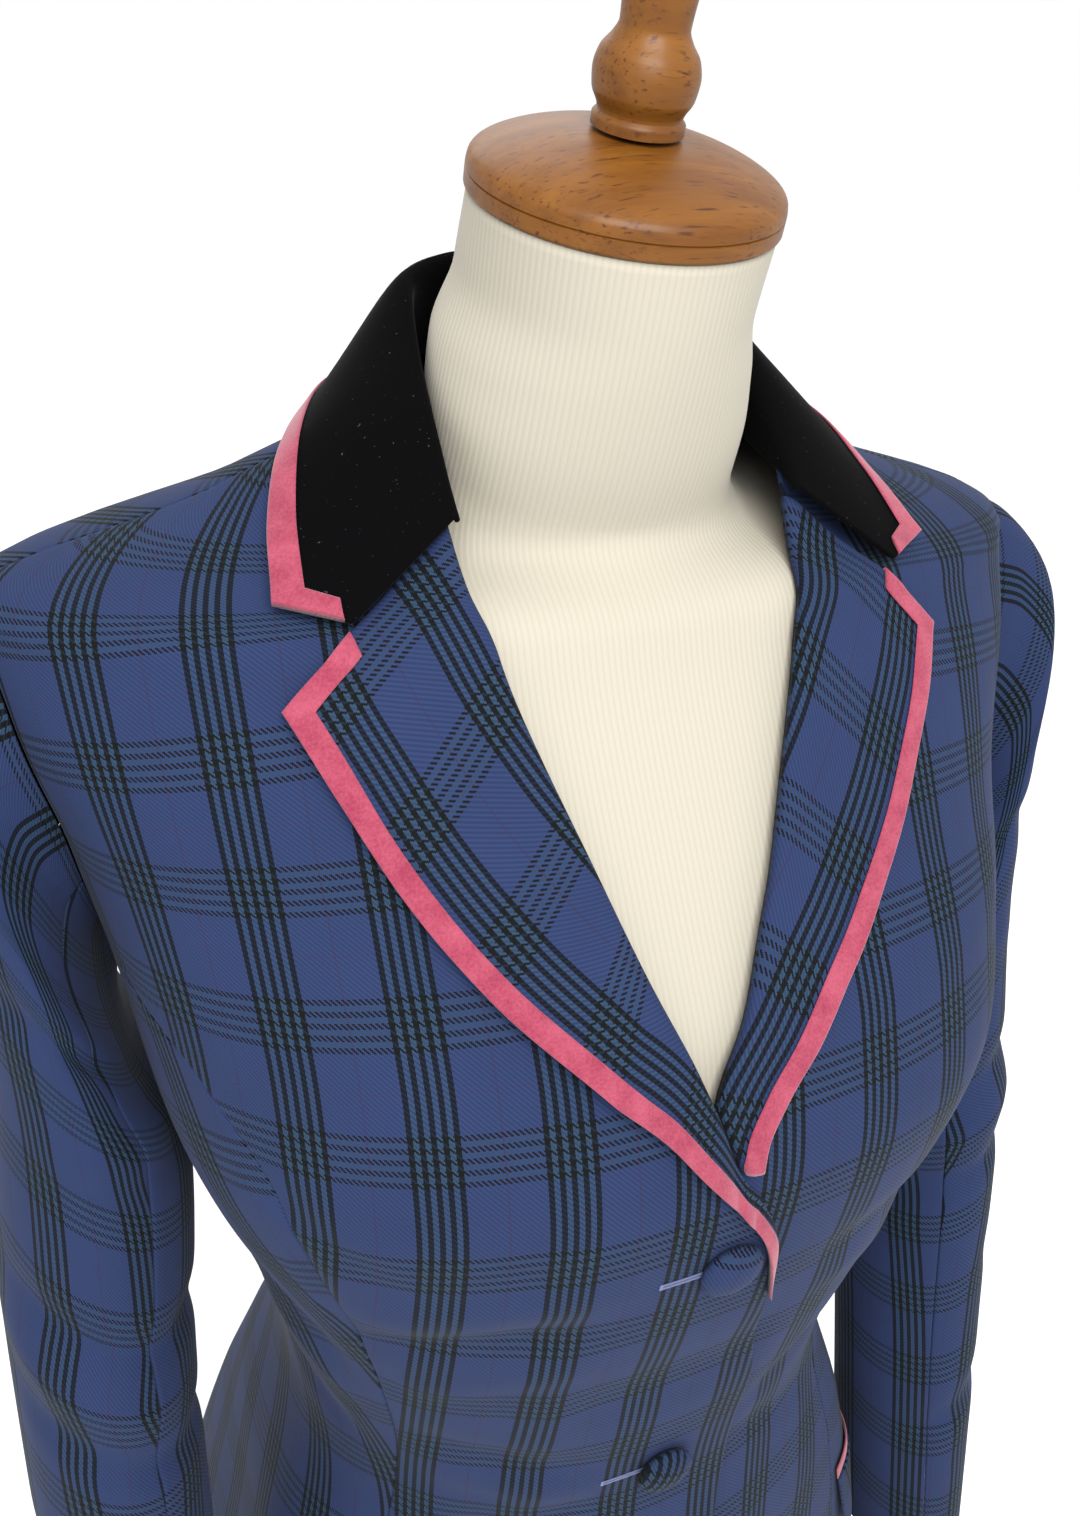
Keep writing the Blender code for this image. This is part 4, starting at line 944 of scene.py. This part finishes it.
# %% [markdown]
# ## Pockets
#
# Each hip pocket has a rose welt along its mouth and a worsted flap below it.  Both are strips of the side
# body's own points moved out.  The flap's front edge stands off the coat, as it does when a pocket is used.

# %% Welts and flaps
POCKET_LEVEL, POCKET_SLOPE, POCKET_TURNS = -0.112, -0.006, (54.0, 92.0)
WELT_TALL, FLAP_TALL, POCKET_WIDE, FLAP_STAND = 0.008, 0.045, 0.10, 0.0032
POCKET_ROWS, POCKET_COLUMNS = 14, 40


def pocket_strip(top, tall, thick, stand, side):
    up = edge_shares(POCKET_ROWS, tall)[:, None]
    across = edge_shares(POCKET_COLUMNS, POCKET_WIDE)[None, :]
    lean = np.maximum(rolled(up, tall, thick), rolled(across, POCKET_WIDE, thick))
    up, across = np.broadcast_arrays(up, across)
    turn = POCKET_TURNS[0] + (POCKET_TURNS[1] - POCKET_TURNS[0]) * across
    level = POCKET_LEVEL + POCKET_SLOPE * across - top - tall * (1 - up)
    lift = LIE_GAP + stand * (1 - up) * (1 - ease(across, 0.0, 0.35))
    outside = body(turn, level, lift + thick - lean, side)
    inside = body(turn, level, lift + lean, side)
    flat_x = around(turn, level) - around(np.full(turn.shape, SIDE_MIDDLE), level)
    flat = np.stack([side * flat_x, climb(turn, level) - CHECK_ABOVE], -1)
    return on_side(outside, inside, flat, side)


for word, side in SIDES:
    for node, top, tall, thick, stand, key in (
            ("pocket_welt", 0.0, WELT_TALL, BAND_WALL, 0.0, "rose"),
            ("pocket_flap", WELT_TALL + SEAM_GAP, FLAP_TALL, WALL, FLAP_STAND, "worsted")):
        sew(f"{node}_{word}", pocket_strip(top, tall, thick, stand, side),
            key)

# %% [markdown]
# ## Covered buttons
#
# Each button is a domed mould with a round of the coat's cloth pulled over it, so its check lies at a slant
# and shrinks into small tucks at the rim.  A turned dome with a softly pleated rim shows both.

# %% Buttons
BUTTON_RADIUS, BUTTON_RISE, BUTTON_EDGE = 0.0115, 0.0050, 0.0016
# level of each button, shank, slant of its cloth in degrees, place of its middle on the cloth
BUTTONS = ((0.142, 0.0004, 12.0, (0.022, 0.029)), (0.009, 0.0017, 20.0, (0.004, 0.004)),
           (-0.124, 0.0005, 74.0, (0.010, 0.018)))
BUTTON_STEPS, RIM_TUCKS, TUCK_DEPTH, UNDER_CURL = 72, 18, 0.00025, 0.0010


def covered_button(number, level, shank, slant, cloth_place):
    """Dome of rings from the middle of the top down to a flat underside."""
    angle = np.radians(np.linspace(6, 90, 15))
    radius = np.append(BUTTON_RADIUS * np.sin(angle), BUTTON_RADIUS - UNDER_CURL)[:, None]
    height = np.append(BUTTON_EDGE + BUTTON_RISE * np.cos(angle), 0.0)[:, None]
    turn = np.linspace(0, 2 * np.pi, BUTTON_STEPS, endpoint=False)
    reach = radius + TUCK_DEPTH * np.cos(RIM_TUCKS * turn) * ease(radius / BUTTON_RADIUS, 0.78, 1.0)
    ring = np.stack([reach * np.cos(turn), reach * np.sin(turn), height + 0 * turn], -1)
    local = np.concatenate([[(0.0, 0.0, BUTTON_EDGE + BUTTON_RISE)], ring.reshape(-1, 3)])
    seat = body(np.array(0.0), np.array(level), np.array(LAP_LIFT + shank))
    sideways = np.array((1.0, 0.0, 0.0))
    upward = unit(body_section(0.0, level + 0.002) - body_section(0.0, level - 0.002))
    points = seat + local @ np.stack([sideways, upward, np.cross(sideways, upward)])
    lean = np.radians(slant)
    spin = np.array([(np.cos(lean), np.sin(lean)), (-np.sin(lean), np.cos(lean))])
    flat = local[:, :2] @ spin + np.array(cloth_place)
    faces = [(0, 1 + j, 1 + (j + 1) % BUTTON_STEPS) for j in range(BUTTON_STEPS)]
    faces += [corners[::-1] for corners in grid_faces(len(ring), BUTTON_STEPS, 1, closed=True)]
    faces += [tuple(range(len(points) - 1, len(points) - 1 - BUTTON_STEPS, -1))]
    return add_mesh(f"button_{number}_covered", points, faces, worsted, flat)


for number, (level, shank, slant, cloth_place) in enumerate(BUTTONS, 1):
    piece = covered_button(number, level, shank, slant, cloth_place)
    stand_for(piece, f"button_{number}")
print("buttons:", len(BUTTONS))

# %% [markdown]
# ## Buttonhole stitches
#
# A worked buttonhole is a slit whose edges are covered by close stitches of twisted silk, with a bar across
# its end.  Many equal stitches along a path are a task for Geometry Nodes: the tree walks along the path at
# the stitch pitch and lays one small rounded stitch across it each time.

# %% Stitch tree
stitching = bpy.data.node_groups.new("stitches along a path", "GeometryNodeTree")
face = stitching.interface
face.new_socket("Geometry", in_out="INPUT", socket_type="NodeSocketGeometry")
for label, value in (("Pitch", 0.00045), ("Stitch Length", 0.0014), ("Stitch Width", 0.00042)):
    face.new_socket(label, in_out="INPUT", socket_type="NodeSocketFloat").default_value = value
face.new_socket("Thread", in_out="INPUT", socket_type="NodeSocketMaterial")
face.new_socket("Geometry", in_out="OUTPUT", socket_type="NodeSocketGeometry")
inlet, outlet = add(stitching, "NodeGroupInput"), add(stitching, "NodeGroupOutput")
path = add(stitching, "GeometryNodeMeshToCurve", links={0: inlet.outputs["Geometry"]})
walk = add(stitching, "GeometryNodeResampleCurve", {"mode": "LENGTH"},
           links={"Curve": path.outputs[0], "Length": inlet.outputs["Pitch"]})
tangent = add(stitching, "GeometryNodeInputTangent")
out = add(stitching, "GeometryNodeInputNamedAttribute", {"data_type": "FLOAT_VECTOR"}, {"Name": "out"})
along_path = add(stitching, "FunctionNodeAlignRotationToVector", {"axis": "X"},
                 links={"Vector": tangent.outputs[0]})
upright = add(stitching, "FunctionNodeAlignRotationToVector", {"axis": "Z", "pivot_axis": "X"},
              links={"Rotation": along_path.outputs[0], "Vector": out.outputs[0]})
stitch = add(stitching, "GeometryNodeMeshIcoSphere", values={"Radius": 0.5, "Subdivisions": 2})
size = add(stitching, "ShaderNodeCombineXYZ", links={0: inlet.outputs["Stitch Width"],
                                                     1: inlet.outputs["Stitch Length"],
                                                     2: inlet.outputs["Stitch Width"]})
sewn = add(stitching, "GeometryNodeInstanceOnPoints",
           links={"Points": walk.outputs[0], "Instance": stitch.outputs[0], "Rotation": upright.outputs[0],
                  "Scale": size.outputs[0]})
real = add(stitching, "GeometryNodeRealizeInstances", links={0: sewn.outputs[0]})
dressed = add(stitching, "GeometryNodeSetMaterial",
              links={"Geometry": real.outputs[0], "Material": inlet.outputs["Thread"]})
stitching.links.new(dressed.outputs[0], outlet.inputs[0])

# Twisted silk in periwinkle blue: a fine round thread with a soft gleam.
silk, *_ = finish_named("periwinkle silk twist", colour=linear("#5b6592"), rough=0.5, sheen=0.2)

# %% Work the buttonholes
HOLE_NEAR, HOLE_FAR, HOLE_HALF, HOLE_POINTS = -0.004, -0.0245, 0.0008, 24
BAR_OUT, BAR_TALL, BAR_POINTS, STITCH_LIFT = 0.0004, 1.5, 6, 0.0002


def hole_point(x, level, lift):
    """Point of the wearer's right front and the way out of it."""
    turn = turn_at_x(-x, level)
    foot = body(turn, level, np.full(turn.shape, LAP_LIFT + lift), -1)
    high = body(turn, level, np.full(turn.shape, LAP_LIFT + lift + 0.01), -1)
    return foot * MIRROR, unit(high - foot) * MIRROR


def buttonhole(number, level):
    x = np.linspace(HOLE_NEAR, HOLE_FAR, HOLE_POINTS)
    rise = np.linspace(-HOLE_HALF, HOLE_HALF, BAR_POINTS)
    runs = [(x, np.full_like(x, level + HOLE_HALF)), (x, np.full_like(x, level - HOLE_HALF)),
            (np.full_like(rise, HOLE_FAR - BAR_OUT), level + BAR_TALL * rise)]
    points, ways, edges = [], [], []
    for run_x, run_level in runs:
        start = sum(len(done) for done in points)
        foot, way = hole_point(run_x, run_level, STITCH_LIFT)
        points.append(foot)
        ways.append(way)
        edges += [(start + k, start + k + 1) for k in range(len(run_x) - 1)]
    mesh = bpy.data.meshes.new(f"buttonhole_{number}")
    mesh.from_pydata(np.concatenate(points).tolist(), edges, [])
    way_out = mesh.attributes.new("out", "FLOAT_VECTOR", "POINT")
    way_out.data.foreach_set("vector", np.concatenate(ways).ravel())
    guide = bpy.data.objects.new(f"buttonhole_{number}_path", mesh)
    bpy.context.scene.collection.objects.link(guide)
    needle = guide.modifiers.new("sew", "NODES")
    needle.node_group = stitching
    for item in face.items_tree:
        if item.in_out == "INPUT" and item.name == "Thread":
            needle[item.identifier] = silk
    seen = guide.evaluated_get(bpy.context.evaluated_depsgraph_get())
    sewn_mesh = bpy.data.meshes.new_from_object(seen)
    bpy.data.objects.remove(guide, do_unlink=True)
    sewn_mesh.name = f"buttonhole_{number}"
    sewn_mesh.shade_smooth()
    piece = bpy.data.objects.new(f"buttonhole_{number}", sewn_mesh)
    bpy.context.scene.collection.objects.link(piece)
    return piece


for number, (level, *_) in enumerate(BUTTONS, 1):
    piece = buttonhole(number, level)
    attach(piece, "root")
    print(piece.name, len(piece.data.polygons), "faces")

# %% [markdown]
# ## Dress form
#
# The form is a padded torso under ribbed cream jersey.  It repeats the coat's sections a few millimetres
# in, so the cloth rests on it without cutting into it, and closes in to a neck.  The ribs stand upright:
# their place is measured from the centre front round both sides of each ring.

# %% Torso
FORM_FOOT, FORM_SHOULDER, FORM_INSET, SHOULDER_INSET = -0.235, 0.340, 0.0065, 0.0034
# level, half width, front, back, middle, front rise
NECK = np.array([
    (0.364, 0.0540, -0.0320, 0.0450, 0.0070, -0.0130),
    (0.380, 0.0540, -0.0385, 0.0515, 0.0060, -0.0100),
    (0.400, 0.0520, -0.0440, 0.0525, 0.0080, -0.0080),
    (0.420, 0.0463, -0.0480, 0.0472, 0.0035, -0.0078),
    (0.4420, 0.0464, -0.0511, 0.0403, -0.0054, -0.0081),
])
FORM_STEPS, TORSO_RINGS, JOIN_RINGS, NECK_RINGS = 144, 84, 10, 26

turn = np.linspace(0, 360, FORM_STEPS, endpoint=False)
levels = np.linspace(FORM_FOOT, FORM_SHOULDER, TORSO_RINGS)
shoulders, neck = [], []
for level in levels:
    inset = FORM_INSET + (SHOULDER_INSET - FORM_INSET) * ease(level, 0.300, FORM_SHOULDER)
    ring_level = np.full_like(turn, level)
    shoulders.append(body_section(turn, ring_level) - section_normal(turn, ring_level) * inset)
shoulders[0][:, 2] = WAIST + FORM_FOOT
sine, cosine = np.sin(np.radians(turn)), np.cos(np.radians(turn))
for level in np.linspace(NECK[0, 0], NECK[-1, 0], NECK_RINGS):
    half, front, back, middle, rise = (smooth(level, NECK, column) for column in range(1, 6))
    depth = np.where(cosine > 0, middle - front, back - middle)
    neck.append(np.stack([half * sine, middle - depth * cosine, WAIST + level + rise * cosine], -1))
# A hollow curve carries the shoulders' slope over into the neck's.
span = np.linalg.norm(neck[0] - shoulders[-1], axis=-1, keepdims=True)
leave, arrive = unit(shoulders[-1] - shoulders[-2]) * span, unit(neck[1] - neck[0]) * span
join = [(2 * t ** 3 - 3 * t ** 2 + 1) * shoulders[-1] + (t ** 3 - 2 * t ** 2 + t) * leave
        + (3 * t ** 2 - 2 * t ** 3) * neck[0] + (t ** 3 - t ** 2) * arrive
        for t in np.linspace(0, 1, JOIN_RINGS + 2)[1:-1]]
rings = np.array(shoulders + join + neck)
steps = np.linalg.norm(np.roll(rings, -1, axis=1) - rings, axis=-1)
run = np.cumsum(steps, axis=1) - steps
flat = np.stack([np.minimum(run, steps.sum(axis=1, keepdims=True) - run), rings[..., 2]], -1)
faces = grid_faces(len(rings), FORM_STEPS, closed=True)
top_ring = (len(rings) - 1) * FORM_STEPS
faces += [tuple(range(FORM_STEPS - 1, -1, -1)), tuple(range(top_ring, top_ring + FORM_STEPS))]
torso = add_mesh("form_torso_jersey", rings.reshape(-1, 3), faces, jersey, flat.reshape(-1, 2))
stand_for(torso, "form_torso")
print("torso:", len(torso.data.polygons), "faces")

# %% [markdown]
# ## Turned wood
#
# The neck cap, its finial, the pole and the foot are turned on a lathe, so each is one outline spun round
# an axis.  The outline is smoothed through its table, and fine grooves cut by the turner's chisel are added
# as small dips.  The cap and the finial lean back with the neck.

# %% Lathe
TURNED_STEPS, OUTLINE_POINTS = 96, 90
CAP_CENTRE, CAP_TILT = np.array((0.0, -0.0054, WAIST + 0.4420)), 10.0
# outlines from top to bottom: radius, height
CAP_OUTLINE = ((0.0, 0.0205), (0.0170, 0.0196), (0.0320, 0.0164), (0.0430, 0.0122), (0.0462, 0.0100),
               (0.0470, 0.0088), (0.0474, 0.0070), (0.0475, 0.0058), (0.0469, 0.0054), (0.0475, 0.0050),
               (0.0475, 0.0012), (0.0465, 0.0003), (0.0, 0.0003))
FINIAL_OUTLINE = ((0.0, 0.0975), (0.0070, 0.0963), (0.0118, 0.0920), (0.0136, 0.0855), (0.0134, 0.0785),
                  (0.0122, 0.0695), (0.0110, 0.0605), (0.0101, 0.0515), (0.0099, 0.0477), (0.0112, 0.0447),
                  (0.0142, 0.0405), (0.0153, 0.0358), (0.0147, 0.0306), (0.0126, 0.0264), (0.0124, 0.0254),
                  (0.0136, 0.0240), (0.0136, 0.0213), (0.0, 0.0213))
BASE_OUTLINE = ((0.0, 0.0320), (0.0250, 0.0320), (0.0280, 0.0290), (0.0320, 0.0262), (0.1400, 0.0200),
                (0.1620, 0.0160), (0.1680, 0.0100), (0.1680, 0.0030), (0.1650, 0.0), (0.0, 0.0))
POLE_RADIUS, BASE_TOP = 0.0125, 0.0320
POLE_OUTLINE = ((0.0, WAIST + FORM_FOOT - SEAM_GAP), (POLE_RADIUS, WAIST + FORM_FOOT - SEAM_GAP),
                (POLE_RADIUS, BASE_TOP + SEAM_GAP), (0.0, BASE_TOP + SEAM_GAP))


def lathe(name, outline, node, rounded, centre=(0.0, 0.0, 0.0), tilt=0.0):
    """Solid of revolution of an outline that starts and ends on the axis."""
    outline = np.array(outline)
    run = run_along(outline)
    if rounded:
        table = np.column_stack([run, outline])
        at = np.sort(np.unique(np.concatenate([run, np.linspace(0, run[-1], OUTLINE_POINTS)])))
        radius, height = smooth(at, table, 1), smooth(at, table, 2)
    else:
        radius, height = outline[:, 0], outline[:, 1]
    angle = np.linspace(0, 2 * np.pi, TURNED_STEPS, endpoint=False)
    ring = np.stack([radius[1:-1, None] * np.cos(angle), radius[1:-1, None] * np.sin(angle),
                     height[1:-1, None] + 0 * angle], -1)
    points = np.concatenate([[(0.0, 0.0, height[0])], ring.reshape(-1, 3), [(0.0, 0.0, height[-1])]])
    lean = np.radians(tilt)
    points = np.stack([points[:, 0], points[:, 1] * np.cos(lean) - points[:, 2] * np.sin(lean),
                       points[:, 1] * np.sin(lean) + points[:, 2] * np.cos(lean)], -1) + np.array(centre)
    faces = [face[::-1] for face in grid_faces(len(ring), TURNED_STEPS, 1, closed=True)]
    last = 1 + (len(ring) - 1) * TURNED_STEPS
    faces += [(0, 1 + j, 1 + (j + 1) % TURNED_STEPS) for j in range(TURNED_STEPS)]
    faces += [(len(points) - 1, last + (j + 1) % TURNED_STEPS, last + j) for j in range(TURNED_STEPS)]
    piece = add_mesh(name, points, faces, beech)
    piece.data.set_sharp_from_angle(angle=np.radians(40))
    stand_for(piece, node)
    print(name, len(faces), "faces")


lathe("neck_cap_wood", CAP_OUTLINE, "neck_cap", True, CAP_CENTRE, CAP_TILT)
lathe("finial_wood", FINIAL_OUTLINE, "finial", True, CAP_CENTRE, CAP_TILT)
lathe("pole_wood", POLE_OUTLINE, "pole", False)
lathe("base_wood", BASE_OUTLINE, "base", True)

# %% [markdown]
# ## Floor, light and camera
#
# The picture is a cut-out on white.  Neck and chest are bright, and the sleeves and the waist are much
# darker, as under a wide lamp that stands near, in front of the shoulders.  An even sky and a pale floor give
# the white.  The camera stands at the wearer's right front, above the shoulder, turned a little about its own
# axis.

# %% Stage
bpy.ops.mesh.primitive_plane_add(size=60.0, location=(0.0, 0.0, 0.0))
floor = bpy.context.object
floor.name = "floor"
# Matt white studio paper: an even pale ground with no gloss.
paper, *_ = finish_named("white studio paper", colour=linear("#ffffff"), rough=1.0, gloss=0.0)
floor.data.materials.append(paper)

SKY_STRENGTH = 1.0
sky = bpy.data.worlds.new("studio")
sky.use_nodes = True
sky.node_tree.nodes["Background"].inputs["Color"].default_value = (1.0, 1.0, 1.0, 1.0)
sky.node_tree.nodes["Background"].inputs["Strength"].default_value = SKY_STRENGTH
bpy.context.scene.world = sky


def lamp(name, power, width, place, target):
    """Square soft lamp that looks at a target."""
    light = bpy.data.lights.new(name, "AREA")
    light.energy, light.size = power, width
    item = bpy.data.objects.new(name, light)
    way = unit(np.array(target) - np.array(place))
    side_way = unit(np.cross(way, np.array((0.0, 0.0, 1.0))))
    axes = np.stack([side_way, np.cross(side_way, way), -way], axis=1)
    matrix = np.eye(4)
    matrix[:3, :3], matrix[:3, 3] = axes, place
    item.matrix_world = Matrix(matrix.tolist())
    bpy.context.scene.collection.objects.link(item)


lamp("key lamp", 30.0, 1.0, (-0.30, -1.05, 1.80), (0.0, 0.0, 0.85))
lamp("back lamp", 12.0, 1.6, (0.4, 1.9, 2.2), (0.0, 0.4, 0.0))

# %% Camera
CAMERA_PLACE = np.array((-0.1945, -0.3737, 1.0028))
CAMERA_WAY = unit(np.array((0.3796, 0.7655, -0.5196)))
CAMERA_ROLL, FOCAL_PIXELS, IMAGE_TALL, SENSOR = 4.86, 1316.7, 1516, 36.0
right = unit(np.cross(CAMERA_WAY, np.array((0.0, 0.0, 1.0))))
upward = np.cross(right, CAMERA_WAY)
roll = np.radians(CAMERA_ROLL)
right, upward = (right * np.cos(roll) + upward * np.sin(roll), upward * np.cos(roll) - right * np.sin(roll))
matrix = np.eye(4)
matrix[:3, :3], matrix[:3, 3] = np.stack([right, upward, -CAMERA_WAY], axis=1), CAMERA_PLACE
lens = bpy.data.cameras.new("camera")
lens.sensor_width, lens.sensor_fit = SENSOR, "AUTO"
lens.lens = SENSOR * FOCAL_PIXELS / IMAGE_TALL
lens.clip_start = 0.01
camera = bpy.data.objects.new("camera", lens)
camera.matrix_world = Matrix(matrix.tolist())
bpy.context.scene.collection.objects.link(camera)
bpy.context.scene.camera = camera
bpy.context.scene.view_settings.view_transform = "Standard"
print("lens %.2f mm" % lens.lens)
